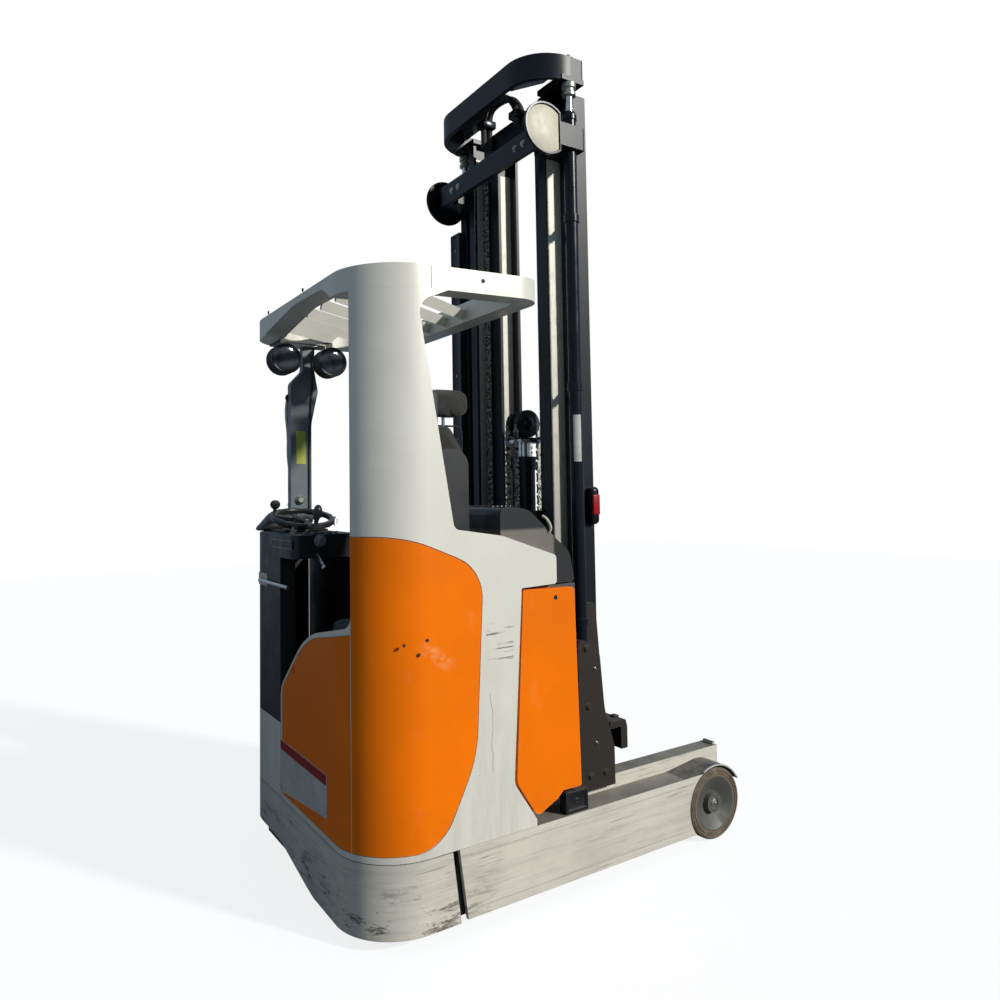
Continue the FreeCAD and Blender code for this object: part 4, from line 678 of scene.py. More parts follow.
def orange_paint():
    """Glossy orange panels: even colour with a soft bloom, hairline scratches and paler edges."""
    paint = Paint("orange paint")
    base = colours().orange
    along, _, up = paint.axes()
    cloud = paint.noise(4.0, 3.0)
    paint.ground(paint.fade(cloud, 0.35, 0.7), base, lift(base, 0.90))
    bloom = paint.fade(paint.noise(9.0, 5.0, 0.7, (1.0, 1.0, 0.5)), 0.60, 0.74)
    paint.coat(bloom * 0.12, srgb(255, 176, 120))
    grime = paint.fade(up, 0.56, 0.30) * paint.fade(paint.noise(18.0, 5.0, 0.7), 0.44, 0.62)
    paint.coat(grime * 0.10, srgb(150, 84, 30))
    hairs = paint.fade(paint.noise(60.0, 4.0, 0.8, (0.25, 0.25, 2.4)), 0.665, 0.70)
    paint.coat(hairs * 0.35, srgb(176, 84, 20))
    ahead, above = along - (REAR + SMEAR_ALONG), up - SMEAR_UP
    cosine, sine = math.cos(SMEAR_TURN), math.sin(SMEAR_TURN)
    smear = (paint.fade(abs(ahead * cosine - above * sine), 0.085, 0.030)
             * paint.fade(abs(ahead * sine + above * cosine), 0.030, 0.006)
             * paint.fade(paint.noise(40.0, 4.0, 0.7), 0.40, 0.60))
    paint.coat(smear * 0.6, srgb(255, 176, 122))
    paint.coat(paint.edges(0.003) * 0.55, srgb(255, 186, 122))
    paint.set(Roughness=paint.fade(cloud, 0.3, 0.7, 0.36, 0.46), Specular_IOR_Level=0.12)
    return paint.bump(paint.noise(260.0, 2.0) + hairs * 0.6, 0.035)


@in_slot()
def hood_plastic():
    """Grained hood: grey-brown low down and a glossy dark upper deck, dusty where it is flat."""
    paint = Paint("hood plastic")
    base = colours().hood
    along, _, up = paint.axes()
    flat = paint.facing()[2]
    grain = paint.cells(700.0)
    cloud = paint.noise(8.0, 5.0, 0.65)
    paint.ground(paint.fade(cloud, 0.35, 0.68), base, lift(base, 0.80))
    deck = paint.fade(up, 1.300, 1.312) + paint.fade(along, REAR + 0.765, REAR + 0.775)
    deck = deck - (deck > 1.0) * (deck - 1.0)
    paint.coat(deck * 0.9, srgb(40, 41, 44))
    dust = paint.fade(flat, 0.4, 0.95) * paint.fade(paint.noise(20.0, 5.0, 0.7), 0.4, 0.65)
    paint.coat(dust * (1.0 - deck) * 0.4, srgb(150, 142, 126))
    paint.coat(paint.edges(0.004) * 0.4, lift(base, 1.45))
    paint.set(Roughness=paint.fade(deck, 0.0, 1.0, 0.58, 0.24))
    return paint.bump(grain, 0.10, 0.0006)


def plain_paint(name, base, rough=0.45, metallic=0.0, chips=0.5, dusty=0.35, grain=0.05):
    """Workshop paint in one colour, with chips, dust on what faces up and bright rubbed edges."""
    paint = Paint(name)
    flat = paint.facing()[2]
    cloud = paint.noise(9.0, 5.0, 0.65)
    paint.ground(paint.fade(cloud, 0.35, 0.68), base, lift(base, 0.72))
    spots = paint.fade(paint.noise(75.0, 6.0, 0.75), 0.63, 0.68)
    where = paint.fade(paint.noise(4.5, 3.0), 0.50, 0.60)
    paint.coat(spots * where * chips, lift(tint(base, srgb(150, 140, 125), 0.5), 1.2))
    settled = paint.fade(flat, 0.35, 0.95) * paint.fade(paint.noise(24.0, 5.0, 0.7), 0.38, 0.62)
    paint.coat(settled * dusty, srgb(150, 141, 124))
    paint.coat(paint.edges(0.003) * chips, tint(base, srgb(190, 186, 176), 0.45))
    paint.set(Metallic=metallic, Specular_IOR_Level=0.3,
              Roughness=paint.fade(cloud, 0.3, 0.7, rough - 0.08, rough + 0.10))
    return paint.bump(paint.noise(330.0, 3.0), grain)


def plain(slot, name, shade, *settings):
    """A finish of plain paint; the shade is a colour, or the name of one that a user may set."""
    def make():
        base = getattr(colours(), shade) if isinstance(shade, str) else shade
        return plain_paint(name, base, *settings)
    return in_slot()(make)


# The plain paints: slot, name, shade, roughness, metallic, chips, dust and grain.
frame_black = plain("frame_black", "frame black", "black", 0.5)
gloss_black = plain("mast_black", "gloss black", "mast", 0.24, 0.1, 0.25, 0.2, 0.03)
carriage_paint = plain("mast_brown", "carriage paint", "carriage", 0.5, 0.0, 0.35, 0.3)
post_paint = plain("guard_grey", "post paint", "guard_grey", 0.38, 0.1, 0.3, 0.25)
fender_paint = plain(None, "fender paint", "fender", 0.5, 0.0, 0.5, 0.45)
red_paint = plain("truck_orange", "red paint", "red", 0.35, 0.0, 0.3, 0.15)
label_white = plain("truck_silver", "label white", srgb(206, 204, 198), 0.35, 0.0, 0.25, 0.2, 0.02)
label_yellow = plain("truck_silver", "label yellow", srgb(196, 200, 92), 0.35, 0.0, 0.2, 0.2, 0.02)
cream_plastic = plain("truck_silver", "cream plastic", srgb(226, 220, 196), 0.38, 0.0, 0.2, 0.2,
                      0.03)
battery_case = plain(None, "battery case", srgb(86, 88, 90), 0.5, 0.0, 0.5, 0.4)
seat_piping = plain("seat_cloth", "seat piping", srgb(30, 30, 30), 0.6, 0.0, 0.1, 0.2, 0.15)


def moulded_plastic(name, base, rough, grain_scale=850.0):
    """Grained plastic of the cab: leathery grain, dust in the flats, and a painted sheen on the
    edges where hands rub.
    """
    paint = Paint(name)
    flat = paint.facing()[2]
    grain = paint.cells(grain_scale)
    cloud = paint.noise(11.0, 5.0, 0.6)
    paint.ground(paint.fade(cloud, 0.35, 0.7), base, lift(base, 0.7))
    settled = paint.fade(flat, 0.3, 0.95) * paint.fade(paint.noise(26.0, 5.0, 0.7), 0.42, 0.66)
    paint.coat(settled * 0.3, srgb(122, 116, 104))
    # Painted sheen: the edges are lifted to a much paler shade.
    paint.coat(paint.edges(0.003) * 0.4, lift(base, 2.2))
    paint.set(Roughness=paint.fade(cloud, 0.3, 0.7, rough - 0.1, rough + 0.1))
    return paint.bump(grain, 0.14, 0.0006)


@in_slot()
def cab_plastic():
    """Dark plastic of the cab's covers."""
    return moulded_plastic("cab plastic", colours().plastic, 0.45)


@in_slot()
def grip_plastic():
    """Smoother plastic where hands hold on."""
    return moulded_plastic("grip plastic", lift(colours().plastic, 1.5), 0.3, 500.0)


@in_slot()
def screen_glass():
    """Dark display glass with a faint bloom of fingerprints."""
    paint = Paint("screen glass")
    smears = paint.noise(45.0, 4.0, 0.7)
    paint.ground(paint.fade(smears, 0.45, 0.7), srgb(58, 60, 62), srgb(92, 94, 95))
    paint.set(Roughness=paint.fade(smears, 0.3, 0.7, 0.08, 0.22))
    return paint


@in_slot()
def rubber():
    """Matt rubber with dust worked into it."""
    paint = Paint("rubber")
    base = colours().rubber
    cloud = paint.noise(16.0, 6.0, 0.7)
    dusty = paint.fade(cloud, 0.45, 0.7)
    paint.ground(dusty * 0.6, base, srgb(92, 86, 76))
    paint.coat(paint.edges(0.002) * 0.4, srgb(110, 104, 94))
    paint.set(Roughness=paint.fade(cloud, 0.3, 0.7, 0.62, 0.85))
    return paint.bump(paint.noise(420.0, 3.0), 0.12, 0.0006)


@in_slot()
def tyre_tread():
    """Solid tyre: brown dust all over, scuffed rings round the tread and nicks along its edges."""
    paint = Paint("tyre tread")
    base = colours().tread
    cloud = paint.noise(22.0, 6.0, 0.7)
    paint.ground(paint.fade(cloud, 0.38, 0.66), base, lift(base, 0.55))
    across = paint.noise(60.0, 4.0, 0.7, (0.4, 3.0, 0.4))
    paint.coat(paint.fade(across, 0.55, 0.65, 0.0, 0.5), srgb(148, 134, 116))
    nicks = paint.fade(paint.noise(95.0, 4.0, 0.8), 0.64, 0.68)
    paint.coat(nicks * 0.7, srgb(46, 40, 36))
    paint.coat(paint.edges(0.004) * 0.6, srgb(142, 122, 102))
    paint.set(Roughness=paint.fade(cloud, 0.3, 0.7, 0.70, 0.92))
    return paint.bump(cloud + nicks * -1.0, 0.35, 0.0012)


@in_slot()
def rim_paint():
    """Grey-green rim paint with rust bleeding at its outer lip."""
    paint = Paint("rim paint")
    base = colours().rim
    cloud = paint.noise(18.0, 5.0, 0.65)
    paint.ground(paint.fade(cloud, 0.35, 0.68), base, lift(base, 0.7))
    rust = paint.fade(paint.noise(48.0, 6.0, 0.75), 0.58, 0.66)
    paint.coat(rust * 0.5, srgb(128, 92, 66))
    paint.coat(paint.edges(0.005) * 0.8, srgb(158, 138, 116))
    paint.set(Roughness=paint.fade(cloud, 0.3, 0.7, 0.42, 0.66), Metallic=0.15)
    return paint.bump(rust, 0.15)


@in_slot()
def bare_steel():
    """Bolts, pins and pulleys: brushed steel, dulled and oily in patches."""
    paint = Paint("bare steel")
    cloud = paint.noise(30.0, 5.0, 0.7)
    base = lift(colours().steel, 0.62)
    paint.ground(paint.fade(cloud, 0.4, 0.65), base, lift(base, 0.55))
    rust = paint.fade(paint.noise(85.0, 5.0, 0.75), 0.62, 0.70)
    paint.coat(rust * 0.4, srgb(122, 88, 60))
    paint.set(Roughness=paint.fade(cloud, 0.3, 0.7, 0.28, 0.50), Metallic=0.8)
    return paint.bump(paint.noise(240.0, 3.0, 0.6, (1.0, 1.0, 0.1)), 0.06)


@in_slot()
def chrome():
    """Hard-chromed rod: nearly a mirror, with thin wipe marks round it."""
    paint = Paint("rod chrome")
    wipes = paint.noise(220.0, 3.0, 0.6, (0.15, 0.15, 1.0))
    paint.ground(paint.fade(wipes, 0.5, 0.7), srgb(214, 215, 214), srgb(150, 148, 142))
    paint.set(Roughness=paint.fade(wipes, 0.3, 0.7, 0.10, 0.24), Metallic=1.0)
    return paint


@in_slot()
def chain_steel():
    """Greased chain: dark in greasy patches, and near white on the rubbed plates as a painted
    highlight.
    """
    paint = Paint("chain steel")
    grease = paint.noise(70.0, 5.0, 0.7)
    ends = abs(paint.facing()[1]) > 0.8
    paint.ground(paint.fade(grease, 0.42, 0.6), srgb(120, 118, 112), srgb(40, 40, 40))
    # Painted highlight: faces that look across the chain turn near white where the grease is thin.
    paint.coat(ends * paint.fade(grease, 0.56, 0.44), srgb(226, 222, 210))
    paint.set(Roughness=paint.fade(grease, 0.3, 0.7, 0.30, 0.55), Metallic=0.25)
    return paint


@in_slot()
def lamp_glass():
    """Ribbed lamp glass over a dim reflector."""
    paint = Paint("lamp glass")
    cloud = paint.noise(35.0, 3.0)
    paint.ground(paint.fade(cloud, 0.4, 0.7), srgb(66, 70, 76), srgb(38, 42, 46))
    paint.set(Roughness=0.10)
    return paint.bump(paint.node("ShaderNodeTexWave", {"wave_type": "BANDS",
                                                       "bands_direction": "Y"},
                                 {"Vector": paint.place(), "Scale": 38.0}, out="Fac"), 0.3)


@in_slot()
def seat_cloth():
    """Woven seat fabric: crossed threads, a soft nap and rubbed, dusty high places."""
    paint = Paint("seat cloth")
    base = colours().cloth
    threads = [paint.node("ShaderNodeTexWave", {"bands_direction": way},
                          {"Vector": paint.place(), "Scale": 155.0, "Distortion": 1.5}, out="Fac")
               for way in ("X", "Y", "Z")]
    weave = threads[0] * threads[1] + threads[1] * threads[2] + threads[2] * threads[0]
    nap = paint.noise(30.0, 5.0, 0.65)
    paint.ground(paint.fade(weave, 0.2, 1.4), lift(base, 0.6), lift(base, 1.5))
    paint.coat(paint.fade(nap, 0.5, 0.7, 0.0, 0.20), srgb(78, 74, 68))
    paint.set(Roughness=0.9, Sheen_Weight=0.25)
    return paint.bump(weave + nap * 0.4, 0.35, 0.0007)


@in_slot()
def belt_webbing():
    """Woven belt with fine ribs across it."""
    paint = Paint("belt webbing")
    ribs = paint.node("ShaderNodeTexWave", {"bands_direction": "Z"},
                      {"Vector": paint.place(), "Scale": 130.0, "Distortion": 0.6}, out="Fac")
    paint.ground(paint.fade(ribs, 0.2, 0.9), srgb(24, 24, 25), srgb(58, 57, 56))
    paint.set(Roughness=0.8)
    return paint.bump(ribs, 0.3, 0.0006)


def mast_rails(name, faces, low=0.0, high=4.0, rear=0.0):
    """Mast paint with painted edge highlights; bare rolled steel where rollers run, in painted
    shade low down.
    """
    paint = Paint(name)
    base = colours().mast
    along, across, up = paint.axes()
    cloud = paint.noise(9.0, 5.0, 0.65)
    paint.ground(paint.fade(cloud, 0.35, 0.68), base, lift(base, 0.65))
    grease = paint.fade(paint.noise(14.0, 6.0, 0.7, (1.0, 1.0, 0.25)), 0.50, 0.64)
    paint.coat(grease * 0.4, srgb(30, 27, 26))
    # Painted highlight: the rails' edges turn a pale bluish grey.
    paint.coat(paint.edges(0.003) * 0.35, srgb(120, 128, 136))
    tracks = [near(abs(across), face, 0.003) for face in faces]
    bare = (sum(tracks[1:], tracks[0]) * (abs(paint.facing()[1]) > 0.9)
            * (up > low) * (up < high) * (along > REAR + rear))
    steel = colours().steel
    mottle = paint.noise(30.0, 7.0, 0.75, (1.0, 1.0, 0.5))
    rolled = paint.mix(paint.fade(mottle, 0.52, 0.70), steel, lift(steel, 0.72))
    spots = paint.fade(paint.noise(70.0, 5.0, 0.8), 0.67, 0.70)
    rolled = paint.mix(spots * 0.8, rolled, srgb(70, 64, 56))
    # Painted shade: the bare steel darkens towards the bottom, from 2.1 m down to 1.3 m.
    rolled = paint.mix(paint.fade(up, 2.1, 1.3, 0.0, 0.6), rolled, srgb(132, 130, 124))
    paint.coat(bare, rolled)
    paint.set(Metallic=bare * 0.1, Specular_IOR_Level=0.3,
              Roughness=paint.fade(bare, 0.0, 1.0, 0.38, 0.50))
    return paint.bump(mottle, 0.06)


def outer_rails():
    """Outer rails, bare on the inner faces of their webs."""
    return mast_rails("outer rails", OUTER_TRACKS, low=0.15)


def middle_rails():
    """Middle rails, bare on both faces of their front flanges."""
    return mast_rails("middle rails", MIDDLE_TRACKS, high=3.08, rear=0.992)


def inner_rails():
    """Inner rails, bare on the faces that look at each other."""
    return mast_rails("inner rails", INNER_TRACKS, high=2.98)


def free_rod():
    """The free-lift rod: chrome below, and its black head with pulleys above."""
    paint = Paint("free rod")
    head_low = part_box("free_lift_cylinder")[1].z + 0.075
    up = paint.axes()[2]
    head = up > head_low
    cloud = paint.noise(20.0, 4.0)
    paint.ground(head, srgb(214, 215, 214), colours().mast)
    paint.coat(paint.fade(cloud, 0.5, 0.7, 0.0, 0.3), srgb(96, 90, 80))
    paint.set(Metallic=1.0 - head * 0.9, Roughness=paint.fade(head, 0.0, 1.0, 0.14, 0.40))
    return paint


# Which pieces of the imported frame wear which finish.
FRAME_LOOKS = [
    (silver_paint, "right_body_shell left_body_shell rear_left_cover overhead_guard"),
    (worn_silver_paint, "rear_skirt right_leg left_leg"),
    (orange_paint, "right_side_panel rear_panel right_battery_cover left_battery_cover"),
    (hood_plastic, "battery_hood"),
    (frame_black, "chassis_frame drive_motor drive_turret"),
    (battery_case, "battery_block"),
    (post_paint, "left_guard_post"),
    (cab_plastic, "steering_console seat_pod seat_back_shell front_work_lamp rear_work_lamp"),
    (grip_plastic, "steering_wheel"),
    (rubber, "operator_floor pedal_plate"),
    (fender_paint, "right_fender left_fender"),
    (tyre_tread, "right_load_tyre left_load_tyre drive_tyre"),
    (rim_paint, "right_load_rim left_load_rim drive_hub"),
    (bare_steel, "right_load_axle left_load_axle reach_cylinder"),
    (carriage_paint, "reach_carriage fork_carriage"),
    (gloss_black, "right_lift_cylinder left_lift_cylinder free_lift_cylinder"),
    (chrome, "right_lift_rod left_lift_rod reach_rod"),
    (free_rod, "free_lift_rod"),
    (outer_rails, "outer_mast"),
    (middle_rails, "middle_mast"),
    (inner_rails, "inner_mast"),
]


class TRUCK_OT_paint_frame(bpy.types.Operator):
    """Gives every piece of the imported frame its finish"""
    bl_idname = "truck.paint_frame"
    bl_label = "Paint frame"

    def execute(self, context):
        painted = set()
        for make, names in FRAME_LOOKS:
            for name in names.split():
                NODES[name].data.materials.clear()
                NODES[name].data.materials.append(look(make))
                painted.add(name)
        left = set(NODES) - painted - set(CUSHIONS)
        if left:
            raise RuntimeError(f"no finish for {sorted(left)}")
        return {"FINISHED"}


def run(*jobs):
    """Carries out a step's functions in order, and answers as an operator has to."""
    for job in jobs:
        job()
    return {"FINISHED"}


# ------------------------------------------------------------------ body, legs and wheels
SIDE_SCREWS = ((0.141, 0.960), (0.225, 0.967), (0.194, 0.924))      # along and up
GUARD_SIDE_SCREW = (0.460, 2.177)
GUARD_REAR_SCREW = (-0.110, 2.204)                                  # across and up
GUARD_SEAM = 0.255
LOCK_PLACE = (0.748, 1.058)
LOCK_RADIUS = 0.0088
PLATE_CORNERS = ((0.160, 0.500), (-0.330, 0.500), (-0.330, 0.356), (0.160, 0.304))
STRIPE_HEIGHT = 0.036
PLATE_THICK = 0.002
HOOD_DECK = 0.118
CATCH_LINE = ((0.722, -0.600, 1.352), (0.728, -0.611, 1.347), (0.745, -0.613, 1.325),
              (0.752, -0.613, 1.300), (0.748, -0.600, 1.288))
FOOT_ALONG, FOOT_UP = (0.782, 0.885), (0.2775, 0.3555)
# Corners of the black block of painted shade behind the skirt-leg joint.
JOINT_SHADE_BLOCK = ((0.335, -0.616, 0.056), (0.420, -0.600, 0.290))
WELD_RADIUS = 0.0022
OUTWARD = Vector((0, -1, 0))            # away from the truck on its right side
HUB_DISH = 0.0205                       # depth of the load wheel's dish
DRIVE_NUT_CIRCLE = 0.078
MOTOR_SCREW_CIRCLE = 0.096
WELD_LINES = ((0.248, 0.380, 1.395), (0.074, 0.402, 1.372))         # up, and along from, to


def arc_strip(centre, inner, outer, width, keep, sides=96):
    """A curved strip: a ring round a cross axis, cut to the part that keep() allows."""
    clear()
    bpy.ops.mesh.primitive_circle_add(vertices=sides, radius=inner, location=centre,
                                      rotation=turn_to((0, 1, 0)), fill_type="NOTHING")
    piece = settle()
    edit_all()
    bpy.ops.mesh.extrude_region_move()
    bpy.ops.transform.resize(value=(outer / inner,) * 3, center_override=Vector(centre))
    bpy.ops.mesh.select_all(action="DESELECT")
    bpy.ops.object.mode_set(mode="OBJECT")
    for vertex in piece.data.vertices:
        vertex.select = not keep(vertex.co)
    bpy.ops.object.mode_set(mode="EDIT")
    bpy.ops.mesh.delete(type="VERT")
    bpy.ops.mesh.select_all(action="SELECT")
    bpy.ops.mesh.delete_loose()
    bpy.ops.mesh.select_all(action="SELECT")
    bpy.ops.mesh.extrude_region_move(TRANSFORM_OT_translate={"value": (0, width, 0)})
    face_outwards()
    return piece


def panel_screws():
    """Three small screws in the right side panel."""
    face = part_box("right_side_panel")[0].y
    radius = sizes().screw_radius
    screws = [cap_screw(at(along, face + 0.0006, up), (0, -1, 0), radius * 0.8, 0.0035)
              for along, up in SIDE_SCREWS]
    finish(join(*screws), "side_panel_screws", frame_black)


def guard_screws():
    """Screws in the guard's sides and rear."""
    radius = sizes().screw_radius
    along, up = GUARD_SIDE_SCREW
    low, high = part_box("overhead_guard")
    heads = [cap_screw(at(along, low.y + 0.0006, up), (0, -1, 0), radius, 0.004),
             cap_screw(at(along, high.y - 0.0006, up), (0, 1, 0), radius, 0.004)]
    across, up = GUARD_REAR_SCREW
    heads += [cap_screw(at(0.0006, across + shift, up), (-1, 0, 0), radius, 0.004)
              for shift in (0.0, 0.42)]
    finish(join(*heads), "guard_screws", frame_black)


def cover_locks():
    """A barrel lock with a key slot in each battery cover."""
    along, up = LOCK_PLACE
    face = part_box("right_battery_cover")[0].y
    start = at(along, face + 0.020, up)
    barrel = lathe(start, (0, -1, 0), [(0, LOCK_RADIUS), (0.016, LOCK_RADIUS),
                                       (0.018, LOCK_RADIUS * 0.86)], 24)
    slot = start_box(start + Vector((-0.0012, -0.0192, -0.005)),
                     start + Vector((0.0012, -0.0178, 0.005)))
    pair(join(barrel, soften(slot, 0.0004)), "cover_lock", frame_black)


def guard_joint_lines():
    """Fine upright joint lines in the guard's side beams."""
    width = sizes().seam_width
    low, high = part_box("overhead_guard")
    lines = []
    for face in (low.y, high.y):
        upright = start_box(at(GUARD_SEAM, face - 0.0005, low.z + 0.010),
                            at(GUARD_SEAM + width, face + 0.0005, low.z + 0.0875))
        lines.append(soften(upright, 0.0003, 1))
    finish(join(*lines), "guard_joint_lines", frame_black)


def hood_seal():
    """Dark seal under the hood's edges."""
    low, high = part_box("battery_hood")
    seal_low = low.z - 0.010
    seals = [start_box((low.x + 0.03, side * (high.y - 0.004), seal_low),
                       (high.x - 0.004, side * (high.y - 0.012), low.z - 0.001))
             for side in (RIGHT, LEFT)]
    seals.append(start_box((high.x - 0.012, low.y + 0.006, seal_low),
                           (high.x - 0.004, high.y - 0.006, low.z - 0.001)))
    finish(join(*[soften(seal, 0.002) for seal in seals]), "hood_seal", rubber)


def rear_plate():
    """Blank plate on the rear face."""
    corners = [at(0, across, up) for across, up in PLATE_CORNERS]
    panel = soften(plate(corners, (-PLATE_THICK, 0, 0)), 0.0006, 1)
    finish(panel, "rear_blank_plate", label_white)


def rear_plate_stripe():
    """Dark red stripe along the blank plate's top."""
    top = PLATE_CORNERS[0][1]
    left, right = PLATE_CORNERS[0][0], PLATE_CORNERS[1][0]
    stripe = plate([at(-PLATE_THICK, left - 0.004, top - 0.002),
                    at(-PLATE_THICK, right + 0.004, top - 0.002),
                    at(-PLATE_THICK, right + 0.004, top - STRIPE_HEIGHT),
                    at(-PLATE_THICK, left - 0.004, top - STRIPE_HEIGHT)], (-0.0006, 0, 0))
    finish(stripe, "rear_plate_stripe", red_paint)


def rear_plate_rivets():
    """A rivet near each corner of the blank plate."""
    top = PLATE_CORNERS[0][1]
    inset = 0.012
    rivets = [lathe(at(-PLATE_THICK, across + (inset if across < 0 else -inset),
                       up + (-STRIPE_HEIGHT - inset if up == top else inset * 1.6)),
                    (-1, 0, 0), [(0, 0.0045), (0.0012, 0.0042), (0.0022, 0.0024)], 14)
              for across, up in PLATE_CORNERS]
    finish(join(*rivets), "rear_plate_rivets", bare_steel)


def cover_feet():
    """Dark blocks on the legs that the battery covers stand behind."""
    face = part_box("right_leg")[0].y
    block = start_box(at(FOOT_ALONG[0], face + 0.006, FOOT_UP[0]),
                      at(FOOT_ALONG[1], face + 0.048, FOOT_UP[1]))
    sink_faces(block, (0, -1, 0), 0.012, 0.006)
    soften(block, 0.004)
    bolt = cap_screw(at(sum(FOOT_ALONG) / 2, face + 0.0125, FOOT_UP[0] + 0.040), OUTWARD,
                     0.009, 0.005)
    pair(join(block, bolt), "cover_foot", frame_black)


def hood_ribs():
    """Cross ribs on the hood's deck."""
    low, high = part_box("battery_hood")
    rib = start_box((low.x + 0.024, low.y + 0.09, high.z - 0.001),
                    (low.x + 0.034, high.y - 0.09, high.z + 0.003))
    ribs = row_of(soften(rib, 0.0016), 5, (0.019, 0, 0))
    finish(ribs, "hood_ribs", hood_plastic)


def hood_louvres():
    """Two rows of louvres on the hood's slope."""
    low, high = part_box("battery_hood")
    start = Vector((low.x + HOOD_DECK, 0, high.z))
    slope = Vector((high.x, 0, low.z + 0.102)) - start
    lean = math.atan2(-slope.z, slope.x)
    middle = start + slope * 0.36
    louvre = start_box(middle + Vector((-0.006, -0.13, -0.002)),
                       middle + Vector((0.006, 0.13, 0.005)), (0, lean, 0))
    step = slope.normalized() * 0.026
    vents = row_of(soften(louvre, 0.002), 6, step)
    sides = [copy_of(vents, (0, shift, 0)) for shift in (-0.26, 0.26)]
    bpy.data.objects.remove(vents)
    finish(join(*sides), "hood_louvres", hood_plastic)


def hood_catch():
    """Pale bent catch at the hood's right edge."""
    finish(tube_at(CATCH_LINE, 0.005), "hood_catch", cream_plastic)


class TRUCK_OT_body_trim(bpy.types.Operator):
    """Screws, locks, joint lines, blank plate and hood details on the body"""
    bl_idname = "truck.body_trim"
    bl_label = "Body trim"

    def execute(self, context):
        return run(panel_screws, guard_screws, cover_locks, guard_joint_lines, hood_seal,
                   rear_plate, rear_plate_stripe, rear_plate_rivets, cover_feet, hood_ribs,
                   hood_louvres, hood_catch)


def leg_welds():
    """Weld beads along the legs' outer plates."""
    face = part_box("right_leg")[0].y
    beads = [tube([at(first + (last - first) * step / 6, face, up) for step in range(7)],
                  WELD_RADIUS, 2)
             for up, first, last in WELD_LINES]
    pair(join(*beads), "leg_weld", worn_silver_paint)


def leg_joint_shade_blocks():
    """Black block behind the open joint between the skirt and each leg: painted shade in the gap.
    """
    pair(soften(box_at(*JOINT_SHADE_BLOCK), 0.002), "leg_joint_back", frame_black)


def rail_stops():
    """The stop at each rail's front end."""
    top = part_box("right_leg")[1].z
    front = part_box("right_leg")[1].x
    stop = start_box((front - 0.016, -0.520, top - 0.001), (front - 0.002, -0.462, top + 0.012))
    pair(soften(stop, 0.003), "rail_stop", worn_silver_paint)


def fender_edges():
    """The pale rubbed edge that runs round each wheel's cover."""
    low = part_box("right_fender")[0]
    tyre_low, tyre_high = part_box("right_load_tyre")
    middle = middle_of("right_load_tyre")
    inner = (tyre_high.z - tyre_low.z) / 2 + 0.0085
    outer = inner + 0.0065
    leg_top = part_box("right_leg")[0].z + 0.2312

    def keep(spot):
        return spot.z > (leg_top if spot.x < middle.x else low.z + 0.004)

    strip = arc_strip((middle.x, low.y - 0.0015, middle.z), inner, outer, 0.004, keep)
    pair(soften(strip, 0.0012), "fender_edge", label_white)


class TRUCK_OT_legs_trim(bpy.types.Operator):
    """Weld beads, black blocks of painted shade in the joints, rail stops and the wheel covers'
    pale edges on the legs
    """
    bl_idname = "truck.legs_trim"
    bl_label = "Legs trim"

    def execute(self, context):
        return run(leg_joint_shade_blocks, leg_welds, rail_stops, fender_edges)


def load_wheel_face():
    """The middle of the right load wheel's outer face, and its rim's radius."""
    low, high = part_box("right_load_rim")
    return Vector(((low.x + high.x) / 2, low.y, (low.z + high.z) / 2)), (high.z - low.z) / 2


def tyre_rings():
    """Two raised rings on each load tyre's sidewall."""
    face, rim = load_wheel_face()
    rings = [lathe(face, OUTWARD, [(-0.001, radius - 0.004), (0.0022, radius - 0.003),
                                   (0.0022, radius + 0.001), (-0.001, radius + 0.003)], 64, True)
             for radius in (rim + 0.009, rim + 0.020)]
    pair(join(*rings), "tyre_rings", tyre_tread, "{}_load_wheel")


def hub_rings():
    """A stepped ring in the dish of each load wheel."""
    face = load_wheel_face()[0]
    step = lathe(face - OUTWARD * HUB_DISH, OUTWARD,
                 [(-0.002, 0.034), (0.006, 0.034), (0.008, 0.031), (0.008, 0.0265),
                  (-0.002, 0.0260)], 40, True)
    pair(step, "hub_ring", rim_paint, "{}_load_wheel")


def axle_nuts():
    """Nut and grease nipple at each load wheel's axle."""
    face = load_wheel_face()[0]
    end = Vector((face.x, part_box("right_load_axle")[0].y, face.z))
    nut = hex_bolt(end - OUTWARD * 0.0002, OUTWARD, 0.0165, 0.0065)
    nipple = lathe(end + OUTWARD * 0.006, OUTWARD, [(0, 0.004), (0.003, 0.004), (0.004, 0.0026),
                                                    (0.008, 0.0026), (0.009, 0.0014)], 12)
    pair(join(nut, nipple), "axle_nut", bare_steel)


def drive_wheel_nuts():
    """Six nuts on each side of the drive wheel."""
    low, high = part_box("drive_hub")
    centre = middle_of("drive_hub")
    nuts = [hex_bolt(Vector((centre.x, face - side * 0.020, centre.z)) + way * DRIVE_NUT_CIRCLE,
                     (0, side, 0), 0.010, 0.010)
            for side, face in ((RIGHT, low.y), (LEFT, high.y))
            for way in ways_round(6, 15, "Y")]
    finish(join(*nuts), "drive_wheel_nuts", bare_steel, "drive_wheel")


def motor_fins():
    """Cooling fins round the drive motor."""
    low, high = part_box("drive_motor")
    centre = middle_of("drive_motor")
    radius = (high.x - low.x) / 2
    fin = lathe(Vector((centre.x, centre.y, low.z + 0.060)), (0, 0, 1),
                [(0, radius - 0.012), (0.001, radius + 0.004), (0.004, radius + 0.004),
                 (0.005, radius - 0.012)], 48, True)
    finish(row_of(fin, 9, (0, 0, 0.020)), "motor_fins", frame_black, "drive_steer")


